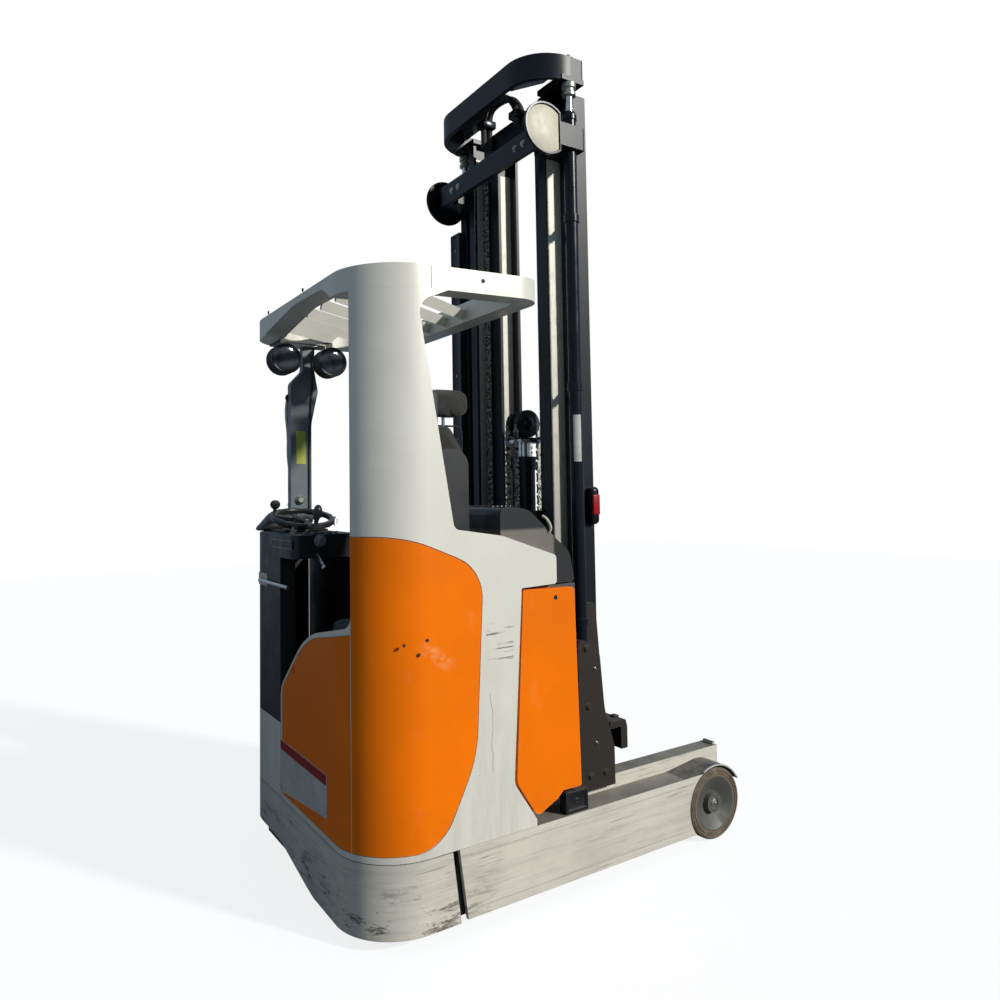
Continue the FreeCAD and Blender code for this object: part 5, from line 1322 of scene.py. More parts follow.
def motor_screws():
    """Screws in the drive motor's cover."""
    centre, top = middle_of("drive_motor"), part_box("drive_motor")[1].z
    bolts = [cap_screw(Vector((centre.x, centre.y, top)) + way * MOTOR_SCREW_CIRCLE,
                       (0, 0, 1), 0.007, 0.006) for way in ways_round(4, 45, "Z")]
    finish(join(*bolts), "motor_cover_screws", bare_steel, "drive_steer")


class TRUCK_OT_wheel_trim(bpy.types.Operator):
    """Rings, hubs and nuts of the load wheels, and the drive unit's nuts and fins"""
    bl_idname = "truck.wheel_trim"
    bl_label = "Wheel trim"

    def execute(self, context):
        return run(tyre_rings, hub_rings, axle_nuts, drive_wheel_nuts, motor_fins, motor_screws)


# ------------------------------------------------------------------ guard, post and lamps
HANDLE_LINE = ((0.196, 0.606, 1.400), (0.196, 0.634, 1.408), (0.197, 0.640, 1.450),
               (0.200, 0.636, 1.530), (0.188, 0.640, 1.620), (0.190, 0.638, 1.720),
               (0.180, 0.640, 1.810), (0.182, 0.640, 1.860), (0.184, 0.634, 1.884),
               (0.186, 0.606, 1.890))
HANDLE_RADIUS = 0.0075
LABEL_ALONG, LABEL_UP = (0.203, 0.247), (1.585, 1.735)
FIXTURE_PLACE = (0.219, 1.422)                              # along and up
CABLE_LINE = ((0.262, 0.004, 1.330), (0.262, 0.005, 1.600), (0.268, 0.004, 1.850),
              (0.280, 0.005, 1.960), (0.276, 0.004, 2.090))     # along, off the post, and up
STRAP_TOP, STRAP_HALF = 2.112, 0.012
LAMP_RADIUS = 0.064
LAMP_FINS = 6


def guard_handle():
    """The bright wavy grab handle on the post, in two dark brackets."""
    finish(tube_at(HANDLE_LINE, HANDLE_RADIUS, 5), "post_handle", bare_steel)
    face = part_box("left_guard_post")[1].y
    feet = []
    for along, _, up in (HANDLE_LINE[0], HANDLE_LINE[-1]):
        foot = lathe(at(along, face - 0.0005, up), (0, 1, 0),
                     [(0, 0.019), (0.005, 0.019), (0.008, 0.014), (0.013, 0.0105)], 24)
        feet.append(foot)
        feet += [cap_screw(at(along, face + 0.004, up + shift), (0, 1, 0), 0.0035, 0.003)
                 for shift in (-0.0135, 0.0135)]
    finish(join(*feet), "handle_feet", frame_black)


def post_label():
    """Blank yellow label on the front post."""
    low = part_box("left_guard_post")[0]
    label = start_box(at(LABEL_ALONG[0], low.y - 0.0008, LABEL_UP[0]),
                      at(LABEL_ALONG[1], low.y + 0.0004, LABEL_UP[1]))
    finish(soften(label, 0.0003, 1), "post_label", label_yellow)


def post_fixture():
    """Round stepped fixture on the front post."""
    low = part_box("left_guard_post")[0]
    along, up = FIXTURE_PLACE
    fixture = lathe(at(along, low.y + 0.0005, up), OUTWARD,
                    [(0, 0.020), (0.005, 0.020), (0.008, 0.016), (0.016, 0.015), (0.020, 0.011)],
                    28)
    finish(fixture, "post_fixture", bare_steel)


def lamp_cable():
    """Cable up the front post to the lamps."""
    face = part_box("left_guard_post")[0].y
    cable = tube([at(along, face - off, up) for along, off, up in CABLE_LINE], 0.0045, 3)
    finish(cable, "lamp_cable_run", rubber)


def lamp_strap():
    """The strap that joins the two lamps."""
    rear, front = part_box("rear_work_lamp"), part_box("front_work_lamp")
    middle = rear[0].y + 0.040
    near_side, far_side, top = middle - STRAP_HALF, middle + STRAP_HALF, STRAP_TOP
    strap = start_box((rear[1].x - 0.044, near_side, top - 0.004),
                      (front[0].x + 0.044, far_side, top))
    ears = [start_box((x - 0.002, near_side, top - 0.024), (x + 0.002, far_side, top - 0.002))
            for x in (rear[1].x - 0.042, front[0].x + 0.042)]
    finish(soften(join(strap, *ears), 0.0008, 1), "lamp_strap", bare_steel)


def lamp_details(node, name):
    """Bezel, ribbed glass and cooling fins of one lamp."""
    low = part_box(node)[0]
    radius = LAMP_RADIUS
    centre = Vector((low.x + radius, low.y, low.z + radius))
    bezel = lathe(centre, OUTWARD,
                  [(-0.006, radius + 0.0015), (0.004, radius + 0.0015), (0.006, radius - 0.002),
                   (0.004, radius - 0.009), (-0.002, radius - 0.011)], 48, True)
    finish(bezel, name + "_bezel", cab_plastic)
    glass = lathe(centre, OUTWARD,
                  [(0.0003, radius - 0.010), (0.0016, radius - 0.014),
                   (0.0030, radius - 0.030), (0.0036, 0.010)], 40)
    finish(glass, name + "_glass", lamp_glass)
    fin = lathe(centre - OUTWARD * 0.040, -OUTWARD,
                [(0, radius - 0.010), (0.001, radius + 0.0015),
                 (0.003, radius + 0.0015), (0.004, radius - 0.010)], 40, True)
    finish(row_of(fin, LAMP_FINS, (0, 0.0062, 0)), name + "_fins", frame_black)


class TRUCK_OT_guard_trim(bpy.types.Operator):
    """Grab handle, label, fixture and strap at the front post, and both work lamps"""
    bl_idname = "truck.guard_trim"
    bl_label = "Guard trim"

    def execute(self, context):
        guard_handle()
        post_label()
        post_fixture()
        lamp_cable()
        lamp_strap()
        lamp_details("rear_work_lamp", "rear_lamp")
        lamp_details("front_work_lamp", "front_lamp")
        return {"FINISHED"}


# ------------------------------------------------------------------ operator's place
STEERING_TILT = 15.0
WHEEL_RIM = 0.132
COWL_LOW = (0.016, 0.482)
COWL_HIGH = (0.258, 0.630)
COWL_TOP = 1.383
DASH_LID = ((0.060, 0.290), (0.245, 0.480))                 # along and across, two corners
SWITCH, SWITCH_PITCH = ((0.060, 0.060), (0.082, 0.092)), 0.032
JOYSTICK_PLACE = (0.140, 0.150)
KEY_PLACE, KEY_HALF = (0.060, 0.190), (0.0015, 0.009)
DISPLAY_ACROSS = (0.026, 0.268)
KNOB_PLACE = (0.109, 0.0205)
LEVER_ALONG = 0.100
BRACKET = ((0.330, 1.074), (0.440, 1.124))                  # across and up, two corners
CONSOLE_BAR, CONSOLE_POSTS = (0.040, 0.400), (0.065, 0.345)
CONSOLE_BAR_UP = 1.094
DRIVE_COVER_ALONG, DRIVE_COVER_THICK = 0.270, 0.013
DRIVE_COVER = ((-0.060, 0.395), (-0.060, 1.140), (-0.020, 1.190), (0.597, 1.190), (0.597, 0.395))


def dash_deck():
    """Height of the console's flat top."""
    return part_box("right_side_panel")[1].z - 0.0126


def dash_cowl(deck):
    """The rounded binnacle that rises from the dash round the front post's foot."""
    cowl = start_box(at(*COWL_LOW, deck), at(*COWL_HIGH, COWL_TOP))
    pick_faces(cowl, (0, 0, 1))
    bpy.ops.transform.resize(value=(0.56, 0.72, 1),
                             center_override=at(0.205, COWL_HIGH[1] - 0.035, COWL_TOP))
    bpy.ops.object.mode_set(mode="OBJECT")
    soften(cowl, 0.034, 5, 20)
    finish(cowl, "dash_cowl", cab_plastic, angle=40)


def dash_lid(deck):
    """Sunk lid on the console's top."""
    lid = box_at((*DASH_LID[0], deck), (*DASH_LID[1], deck + 0.010))
    sink_faces(lid, (0, 0, 1), 0.012, 0.003)
    finish(soften(lid, 0.003), "dash_lid", cab_plastic)


def dash_switches(deck):
    """A row of rocker switches."""
    top = deck + 0.008
    rocker = box_at((*SWITCH[0], deck), (*SWITCH[1], top))
    middle = [(first + last) / 2 for first, last in zip(*SWITCH)]
    pick_faces(rocker, (0, 0, 1))
    bpy.ops.transform.resize(value=(0.7, 0.8, 1), center_override=at(*middle, top))
    bpy.ops.object.mode_set(mode="OBJECT")
    soften(rocker, 0.0025)
    finish(row_of(rocker, 5, (SWITCH_PITCH, 0, 0)), "dash_switches", grip_plastic)


def joystick(deck):
    """The lift lever in its rubber boot."""
    boot = lathe(at(*JOYSTICK_PLACE, deck), (0, 0, 1),
                 [(0, 0.036), (0.006, 0.036), (0.010, 0.028), (0.014, 0.031), (0.019, 0.023),
                  (0.023, 0.026), (0.028, 0.018), (0.032, 0.020), (0.037, 0.011)], 32)
    finish(boot, "joystick_boot", rubber)
    stick = lathe(at(*JOYSTICK_PLACE, deck + 0.034), (0.12, -0.10, 1),
                  [(0, 0.008), (0.018, 0.010), (0.036, 0.016), (0.058, 0.018), (0.072, 0.014),
                   (0.080, 0.006)], 28)
    finish(stick, "joystick_grip", grip_plastic)


def key_switch(deck):
    """Round switch with its key."""
    key = lathe(at(*KEY_PLACE, deck), (0, 0, 1),
                [(0, 0.015), (0.004, 0.015), (0.006, 0.011), (0.007, 0.011)], 24)
    (along, across), (thick, wide) = KEY_PLACE, KEY_HALF
    blade = box_at((along - thick, across - wide, deck + 0.005),
                   (along + thick, across + wide, deck + 0.026))
    finish(join(key, soften(blade, 0.001)), "key_switch", bare_steel)


def dash_display(deck):
    """Dark display at the console's rear edge."""
    first, last = DISPLAY_ACROSS
    screen = box_at((-0.001, first, deck - 0.054), (0.004, last, deck - 0.020))
    sink_faces(screen, (-1, 0, 0), 0.004, 0.002)
    finish(soften(screen, 0.0012), "dash_display", screen_glass)


def dash_knob(deck):
    """Grey knob beside the display."""
    knob = lathe(at(*KNOB_PLACE, deck - 0.024), OUTWARD,
                 [(0, 0.024), (0.006, 0.024), (0.009, 0.019), (0.024, 0.018), (0.028, 0.014)], 30)
    finish(knob, "dash_knob", post_paint)


def dash_lever(deck):
    """Bright lever with a rounded tip."""
    lever = rod(at(LEVER_ALONG, 0.022, deck - 0.074), at(LEVER_ALONG, -0.042, deck - 0.118),
                0.0055)
    tip = lathe(at(LEVER_ALONG, -0.036, deck - 0.114), (0, -0.064, -0.044),
                [(0, 0.007), (0.006, 0.010), (0.014, 0.010), (0.019, 0.006)], 20)
    finish(join(lever, tip), "dash_lever", chrome)


def console_bracket():
    """Pale bracket on the console's rear face."""
    bracket = box_at((-0.004, *BRACKET[0]), (0.001, *BRACKET[1]))
    sink_faces(bracket, (-1, 0, 0), 0.008, 0.001)
    finish(soften(bracket, 0.0015), "console_bracket", cream_plastic)


def console_bar():
    """Bright bar across the console's rear face."""
    up = CONSOLE_BAR_UP
    bar = rod(*[at(-0.012, across, up) for across in CONSOLE_BAR], 0.0075, 24)
    posts = [rod(at(0.001, across, up), at(-0.013, across, up), 0.005, 16)
             for across in CONSOLE_POSTS]
    finish(join(bar, *posts), "console_bar", chrome)


class TRUCK_OT_console(bpy.types.Operator):
    """Cowl, switches, joystick, display and bars of the steering console"""
    bl_idname = "truck.console"
    bl_label = "Console"

    def execute(self, context):
        deck = dash_deck()
        for add in (dash_cowl, dash_lid, dash_switches, joystick, key_switch, dash_display,
                    dash_knob, dash_lever):
            add(deck)
        console_bracket()
        console_bar()
        return {"FINISHED"}


def steering_place():
    """The steering wheel's middle, and the turn that tilts it."""
    return middle_of("steering_wheel"), Matrix.Rotation(math.radians(STEERING_TILT), 3, "X")


def steering_cap():
    """Stepped cap on the steering wheel's hub."""
    centre, tilt = steering_place()
    axis = tilt @ Vector((0, 0, 1))
    cap = lathe(centre - axis * 0.002, axis, [(0, 0.034), (0.006, 0.034), (0.010, 0.030),
                                              (0.013, 0.018), (0.0135, 0.008)], 32)
    finish(cap, "steering_cap", cab_plastic, "steering")


def steering_knob():
    """Spinner knob on the steering wheel."""
    centre, tilt = steering_place()
    spot = centre + tilt @ Vector((-0.093, 0.093, 0.008))
    knob = lathe(spot, tilt @ Vector((0, 0, 1)),
                 [(0, 0.007), (0.010, 0.007), (0.014, 0.014), (0.026, 0.021), (0.038, 0.020),
                  (0.046, 0.012)], 28)
    finish(knob, "steering_knob", grip_plastic, "steering")


def steering_ribs():
    """Small grips round the steering wheel's rim."""
    centre, tilt = steering_place()
    ways = [tilt @ way for way in ways_round(24, 0, "Z")]
    ribs = [lathe(centre + way * (WHEEL_RIM + 0.0095), way,
                  [(0, 0.006), (0.0018, 0.005), (0.0024, 0.003)], 8) for way in ways]
    finish(join(*ribs), "steering_grip_ribs", cab_plastic, "steering")


def floor_ribs():
    """Ribs across the floor mat."""
    low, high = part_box("operator_floor")
    rib = start_box((low.x + 0.030, low.y + 0.020, high.z - 0.001),
                    (low.x + 0.042, high.y - 0.020, high.z + 0.0022))
    finish(row_of(soften(rib, 0.001), 17, (0.029, 0, 0)), "floor_ribs", rubber)


def step_nosing():
    """Bright nosing along the step."""
    low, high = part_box("operator_floor")
    nosing = start_box((low.x + 0.235, high.y - 0.022, high.z - 0.001),
                       (high.x - 0.004, high.y + 0.001, high.z + 0.004))
    finish(soften(nosing, 0.0018), "step_nosing", bare_steel)


def pedal_ribs():
    """Ribs across the pedal plate."""
    low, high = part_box("pedal_plate")
    bar = start_box((low.x + 0.012, low.y + 0.012, high.z - 0.001),
                    (low.x + 0.018, high.y - 0.012, high.z + 0.0020))
    finish(row_of(soften(bar, 0.0008, 1), 14, (0.012, 0, 0)), "pedal_ribs", rubber)


def drive_cover():
    """Dark cover between the operator's place and the drive unit, with a sunk face."""
    wall = plate([at(DRIVE_COVER_ALONG, across, up) for across, up in DRIVE_COVER],
                 (DRIVE_COVER_THICK, 0, 0))
    pick_faces(wall, (1, 0, 0))
    bpy.ops.mesh.inset(thickness=0.016)
    bpy.ops.transform.translate(value=(-0.003, 0, 0))
    bpy.ops.object.mode_set(mode="OBJECT")
    finish(soften(wall, 0.002), "drive_cover", cab_plastic)


class TRUCK_OT_steering_floor(bpy.types.Operator):
    """Steering wheel's knob and cap, the floor mat and the cover before the drive unit"""
    bl_idname = "truck.steering_floor"
    bl_label = "Steering and floor"

    def execute(self, context):
        return run(steering_cap, steering_knob, steering_ribs, floor_ribs, step_nosing, pedal_ribs,
                   drive_cover)


# ------------------------------------------------------------------ seat
CLOTH_STEPS = 20
CLOTH_PRESSURE = 4.0
CUSHIONS = ("seat_cushion", "seat_backrest", "headrest", "armrest_console")


def loose_copy(node, name):
    """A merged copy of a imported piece, free of the frame's own marks."""
    source = NODES[node]
    piece = source.copy()
    piece.data = source.data.copy()
    piece.parent = None
    for mark in list(piece.keys()):
        del piece[mark]
    bpy.context.scene.collection.objects.link(piece)
    piece.name = name
    only(piece)
    edit_all()
    bpy.ops.mesh.remove_doubles(threshold=0.0001)
    face_outwards()
    return piece


def spots(piece):
    """The places of a piece's points."""
    return [vertex.co.copy() for vertex in piece.data.vertices]


def swell(piece, cap):
    """Blows the pad up a little with cloth, and holds every point to within the cap."""
    before = spots(piece)
    only(piece)
    cloth = piece.modifiers.new("pad", "CLOTH")
    cloth.settings.use_pressure = True
    cloth.settings.uniform_pressure_force = CLOTH_PRESSURE
    cloth.settings.tension_stiffness = 20
    cloth.settings.compression_stiffness = 20
    cloth.settings.effector_weights.gravity = 0
    cloth.point_cache.frame_start = 1
    cloth.point_cache.frame_end = CLOTH_STEPS
    for step in range(1, CLOTH_STEPS + 1):
        bpy.context.scene.frame_set(step)
    bpy.ops.object.modifier_apply(modifier=cloth.name)
    bpy.context.scene.frame_set(1)
    for vertex, old in zip(piece.data.vertices, before):
        moved = vertex.co - old
        if moved.length > cap:
            vertex.co = old + moved.normalized() * cap


def pad_from(node, name, voxel, cap, shrink):
    """A soft, crowned pad grown inside the space of a packed cushion."""
    piece = loose_copy(node, name)
    low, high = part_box(node)
    centre = (low + high) / 2
    smaller = [(size - 2 * shrink) / size for size in high - low]
    for vertex in piece.data.vertices:
        offset = vertex.co - centre
        vertex.co = centre + Vector(o * s for o, s in zip(offset, smaller))
    apply_modifier(piece, "REMESH", mode="VOXEL", voxel_size=voxel)
    apply_modifier(piece, "SMOOTH", factor=0.5, iterations=6)
    swell(piece, cap)
    apply_modifier(piece, "SMOOTH", factor=0.5, iterations=2)
    return piece


def press(piece, depth_at):
    """Moves each point along its normal by what depth_at() says there."""
    normals = [vertex.normal.copy() for vertex in piece.data.vertices]
    for vertex, normal in zip(piece.data.vertices, normals):
        vertex.co += normal * depth_at(vertex.co, normal)


def valley(distance, half_width):
    """A rounded groove: 1 at its middle, fading to 0."""
    return math.exp(-(distance / half_width) ** 2)


def finish_pad(piece, node, name):
    """Dresses a pad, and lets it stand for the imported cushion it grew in."""
    apply_modifier(piece, "SUBSURF", levels=1, render_levels=1)
    finish(piece, name, seat_cloth, angle=60)
    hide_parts(node)


def seams_and_channels(spot, low, high, start, pitch, count):
    """How deep two seams and the channels between them run, 0 to 1, and how far out the spot is."""
    third = (high.x - low.x) / 6
    sideways = spot.x - (low.x + high.x) / 2
    seams = max(valley(sideways - side * third, 0.006) for side in (-1, 1))
    channels = max(valley(start - pitch * step, 0.005) for step in range(1, count + 1))
    return seams, channels if abs(sideways) < third else 0.0, abs(sideways) / third


def seat_cushion_pad():
    """Seat with two long seams, sewn channels between them and raised wings beside them."""
    node = "seat_cushion"
    low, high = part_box(node)
    piece = pad_from(node, "seat_cushion_pad", 0.006, 0.010, 0.006)

    def depth(spot, normal):
        seams, channels, outward = seams_and_channels(spot, low, high, spot.y - low.y, 0.06, 5)
        wing = 0.006 if outward > 1.15 else 0.0
        return max(0.0, normal.z) * (wing - 0.006 * seams - 0.0035 * channels)

    press(piece, depth)
    finish_pad(piece, node, "seat_cushion_pad")


def seat_back_pad():
    """Backrest with two upright seams and sewn channels between them."""
    node = "seat_backrest"
    low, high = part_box(node)
    piece = pad_from(node, "seat_back_pad", 0.006, 0.010, 0.006)

    def depth(spot, normal):
        seams, channels, _ = seams_and_channels(spot, low, high, spot.z - low.z, 0.085, 8)
        return max(0.0, normal.y) * -(0.006 * seams + 0.004 * channels)

    press(piece, depth)
    finish_pad(piece, node, "seat_back_pad")


def headrest_pad():
    """Headrest with one seam across its face."""
    centre = middle_of("headrest")
    piece = pad_from("headrest", "headrest_pad", 0.005, 0.008, 0.005)

    def depth(spot, normal):
        return -0.004 * valley(spot.z - centre.z, 0.004) * max(0.0, normal.y)

    press(piece, depth)
    finish_pad(piece, "headrest", "headrest_pad")


def armrest_pad():
    """A plain pad over the armrest."""
    piece = pad_from("armrest_console", "armrest_pad", 0.005, 0.005, 0.003)
    finish_pad(piece, "armrest_console", "armrest_pad")


def piping_round(low, high, axis, place, name):
    """A sewn bead round a pad's edge, in the plane across the axis."""
    one, two = [index for index in range(3) if index != axis]
    inset, corner = 0.010, 0.060
    ends = [(low[one] + inset, low[two] + inset), (high[one] - inset, low[two] + inset),
            (high[one] - inset, high[two] - inset), (low[one] + inset, high[two] - inset)]
    line = []
    for index, (a, b) in enumerate(ends):
        for other, share in ((ends[index - 1], corner), (ends[index - 1], 0.0),
                             (ends[(index + 1) % 4], corner)):
            way = Vector((other[0] - a, other[1] - b))
            flat = Vector((a, b)) + (way.normalized() * share if share else Vector((0, 0)))
            spot = [0.0, 0.0, 0.0]
            spot[axis], spot[one], spot[two] = place, flat.x, flat.y
            line.append(Vector(spot))
    line.append((line[0] + line[-1]) / 2)
    line.insert(0, line[-1].copy())
    bead = tube(line, sizes().piping_radius, 3)
    finish(bead, name, seat_piping)


def pad_piping():
    """Sewn piping round the seat cushion and the backrest."""
    low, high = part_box("seat_cushion")
    piping_round(low, high, 2, (low.z + high.z) / 2 + 0.012, "cushion_piping")
    low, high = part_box("seat_backrest")
    piping_round(low, high, 1, (low.y + high.y) / 2 + 0.010, "backrest_piping")


def headrest_rods():
    """Two bright rods that carry the headrest."""
    middle = middle_of("headrest").x
    low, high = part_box("seat_backrest")[1].z - 0.020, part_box("headrest")[0].z + 0.02
    rods = [rod((middle + shift, -0.462, low), (middle + shift, -0.462, high), 0.006)
            for shift in (-0.075, 0.075)]
    finish(join(*rods), "headrest_rods", chrome)


def seat_belt():
    """Webbing at the seat's side, with its buckle."""
    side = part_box("seat_cushion")[1].x + 0.006
    webbing = tube([(side, -0.360, 0.905), (side + 0.006, -0.350, 0.960),
                    (side + 0.003, -0.330, 1.020), (side - 0.02, -0.300, 1.045)], 0.020, 4)
    for vertex in webbing.data.vertices:
        vertex.co.x = side + (vertex.co.x - side) * 0.12
    finish(webbing, "seat_belt", belt_webbing)
    buckle = start_box((side - 0.009, -0.322, 1.018), (side + 0.009, -0.272, 1.082))
    sink_faces(buckle, (0, 1, 0), 0.005, 0.003)
    finish(soften(buckle, 0.004), "belt_buckle", cab_plastic)


def seat_slide_lever():
    """Bent bar below the cushion's front edge."""
    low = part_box("seat_cushion")[0]
    lever = tube([(low.x + 0.06, -0.020, 0.855), (low.x + 0.06, 0.022, 0.850),
                  (low.x + 0.10, 0.034, 0.848), (low.x + 0.30, 0.034, 0.848),
                  (low.x + 0.34, 0.022, 0.850), (low.x + 0.34, -0.020, 0.855)], 0.006)
    finish(lever, "seat_slide_lever", bare_steel)


class TRUCK_OT_seat(bpy.types.Operator):
    """Padded cushion, backrest, headrest and armrest with their piping and fittings"""
    bl_idname = "truck.seat"
    bl_label = "Seat"

    def execute(self, context):
        return run(seat_cushion_pad, seat_back_pad, headrest_pad, armrest_pad, pad_piping,
                   headrest_rods, seat_belt, seat_slide_lever)


# ------------------------------------------------------------------ mast
STAGE_GAP = 0.2385              # chains run between the inner and the middle rails
CHAIN_WIDTH = 0.020
CHAIN_REAR = 1.032
CHAIN_PULLEY = 0.040
CHAIN_PULLEY_UP = 3.035
CHAIN_FOOT = 0.300
FREE_CHAIN_WIDTH = 0.014
FREE_CHAIN_ACROSS = 0.033
FREE_CHAIN_REACH = 0.0615       # free-lift chains stand this far from the head's axle
CLAMP_HEIGHTS = (0.90, 1.85, 2.55)
CYLINDER_LABEL_UP, CYLINDER_LABEL_HEIGHT = 1.560, 0.19
DUCT_LOW, DUCT_TOP = 0.995, 2.730
BULGE = (1.124, 1.173, 1.300, 1.458)            # along from, to, and up from, to
MARKER = (1.130, 1.167, 1.340, 1.425)
HOSE_ARCH = ((0.948, 0.110, 3.050), (0.948, 0.111, 3.090), (0.948, 0.112, 3.150),
             (0.948, 0.104, 3.228), (0.948, 0.020, 3.238), (0.948, -0.085, 3.215),
             (0.948, -0.150, 3.140), (0.948, -0.158, 3.090), (0.948, -0.158, 3.050))
FOOT_HOSE_LINE = ((0.925, -0.300, 0.960), (0.915, -0.302, 1.040), (0.920, -0.306, 1.130),
                  (0.962, -0.308, 1.168), (0.972, -0.308, 1.110), (0.972, -0.308, 0.900),
                  (0.972, -0.308, 0.450))
FREE_AXLE_DROP = 0.062          # of the free-lift head's axle below the head's top
TIE_DISC = (0.945, 0.466, 2.900)
TIE_PLATE = (0.872, -0.4635, 2.892)
TIE_PLATE_RADIUS, TIE_PLATE_FLAT = 0.106, 0.070
TIE_BOLTS, TIE_BOLT_PLACE = (-0.30, -0.24, 0.24, 0.30), (0.8805, 2.8975)
BOW_BOLT = (1.032, 0.422)
SLIDE_PAD = ((1.001, -0.3148, 3.000), (1.056, -0.3105, 3.090))
HOSE_CLAMP = ((0.928, 0.080, 3.142), (0.998, 0.140, 3.176))
OTHER_CLAMP = (0, -0.262, -0.060)           # from the first clamp
HOSE_CLIP, CLIP_PITCH = ((0.958, -0.362, 0.700), (0.984, -0.296, 0.724)), 0.28
BOW_CORNER = ((0.862, -0.080), (0.862, -0.250), (0.878, -0.320), (0.912, -0.372),
              (0.962, -0.405), (1.030, -0.417), (1.030, -0.250), (0.950, -0.120))
CARRIAGE_BOLTS = ((0.955, 0.360), (1.030, 0.360), (0.950, 0.620), (0.945, 0.840))
CARRIAGE_NIPPLES = ((0.985, 0.480), (0.985, 0.760))
TOOTH_UP, TOOTH_FIRST, TOOTH_PITCH = 0.480, -0.355, 0.097


def link_plate(place, height, pitch, thick):
    """One waisted link plate between two pins, standing along the chain."""
    half, waist = height / 2, height * 0.36
    corners = [(-half, -pitch * 0.30), (-waist, pitch * 0.5), (-half, pitch * 1.30),
               (half, pitch * 1.30), (waist, pitch * 0.5), (half, -pitch * 0.30)]
    return plate([Vector(place) + Vector((along, 0, up)) for along, up in corners],
                 (0, thick, 0))


def chain(foot, top, width):
    """A leaf chain from its foot up: two pitches of plates with their pins, then the repeats."""
    pitch, height = sizes().chain_pitch, sizes().chain_width
    foot = Vector(foot)
    thick = width / 5
    plates = [link_plate(foot + Vector((0, -width / 2 + thick * step * 2, pitch * (step % 2))),
                         height, pitch, thick) for step in range(3)]
    pins = [lathe(foot + Vector((0, -width * 0.56, pitch * step)), (0, 1, 0),
                  [(0, height * 0.2), (width * 1.12, height * 0.2)], 8) for step in range(2)]
    count = max(2, int((top - foot.z) / (2 * pitch)))
    return row_of(join(*plates, *pins), count, (0, 0, 2 * pitch))


def chain_anchor(place, width):
    """A forked end over a block, on a threaded bar with two nuts."""
    place = Vector(place)
    way = Vector((0, 0, 1))
    cheeks = [start_box(place + Vector((-0.010, side * width * 0.62 - 0.002, -0.016)),
                        place + Vector((0.010, side * width * 0.62 + 0.002, 0.016)))
              for side in (-1, 1)]
    block = start_box(place - way * 0.018 + Vector((-0.011, -width * 0.7, -0.008)),
                      place - way * 0.018 + Vector((0.011, width * 0.7, 0.008)))
    bar = rod(place - way * 0.024, place - way * 0.090, 0.008, 16)
    nuts = [hex_bolt(place - way * low, -way, 0.0135, 0.010, False) for low in (0.046, 0.060)]
    return join(soften(join(*cheeks, block), 0.0015, 1), bar, *nuts)


def pulley(centre, radius, width, groove):
    """A chain pulley with rims, a groove and a hub."""
    start = Vector(centre) - Vector((0, width / 2, 0))
    rim = width * 0.16
    return lathe(start, (0, 1, 0),
                 [(0.0, 0.012), (-0.004, 0.012), (-0.004, radius * 0.42), (0.0, radius * 0.46),
                  (0.002, radius * 0.88), (0.0, radius * 0.92), (0.0, radius),
                  (rim, radius), (rim * 1.8, radius - groove),
                  (width - rim * 1.8, radius - groove), (width - rim, radius), (width, radius),
                  (width, radius * 0.92), (width - 0.002, radius * 0.88),
                  (width, radius * 0.46), (width + 0.004, radius * 0.42),
                  (width + 0.004, 0.012), (width, 0.012)], 40, True)


def chain_pulleys():
    """The pulleys at the middle stage's top, each on its pin beside a cheek plate."""
    centre = at(CHAIN_REAR + CHAIN_PULLEY, -STAGE_GAP, CHAIN_PULLEY_UP)
    wheel = pulley(centre, CHAIN_PULLEY, 0.030, 0.006)
    pin = rod(centre + Vector((0, -0.045, 0)), centre + Vector((0, 0.019, 0)), 0.0115, 20)
    cheek = start_box(centre + Vector((-0.022, -0.028, -0.070)),
                      centre + Vector((0.022, -0.022, 0.030)))
    pair(join(wheel, pin, soften(cheek, 0.003)), "chain_pulley", bare_steel, "middle_stage")


def main_chains():
    """Chains from the reach body over the middle stage's pulleys to the inner stage."""
    for side, across in SIDES:
        y = across * STAGE_GAP
        low, top = at(CHAIN_REAR, y, CHAIN_FOOT), at(CHAIN_REAR, y, CHAIN_PULLEY_UP)
        rear = chain(low, CHAIN_PULLEY_UP, CHAIN_WIDTH)
        stretch(rear, side + "_rear_chain", chain_steel, ("middle_stage", "inner_stage"),
                (top, low))
        front = chain(low + Vector((2 * CHAIN_PULLEY, 0, 0)), CHAIN_PULLEY_UP, CHAIN_WIDTH)
        stretch(front, side + "_front_chain", chain_steel, ("reach_body", "middle_stage"),
                (low, top))
        for along, body in ((CHAIN_REAR, "inner_stage"),
                            (CHAIN_REAR + 2 * CHAIN_PULLEY, "reach_body")):
            anchor = chain_anchor(at(along, y, CHAIN_FOOT - 0.012), CHAIN_WIDTH)
            finish(anchor, f"{side}_{body}_anchor", bare_steel, body)


def free_chain_anchors(along, up):
    """An anchor for each of the two free-lift strands."""
    return [chain_anchor((along, side * FREE_CHAIN_ACROSS, up), FREE_CHAIN_WIDTH)
            for side in (RIGHT, LEFT)]


def free_lift_places():
    """The free-lift head's axle: its along and up, and the heights of the two chain ends."""
    axle_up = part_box("free_lift_rod")[1].z - FREE_AXLE_DROP
    inner_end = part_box("inner_mast")[0].z + 1.21
    fork_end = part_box("fork_carriage")[1].z - 0.125
    return middle_of("free_lift_rod").x, axle_up, inner_end, fork_end


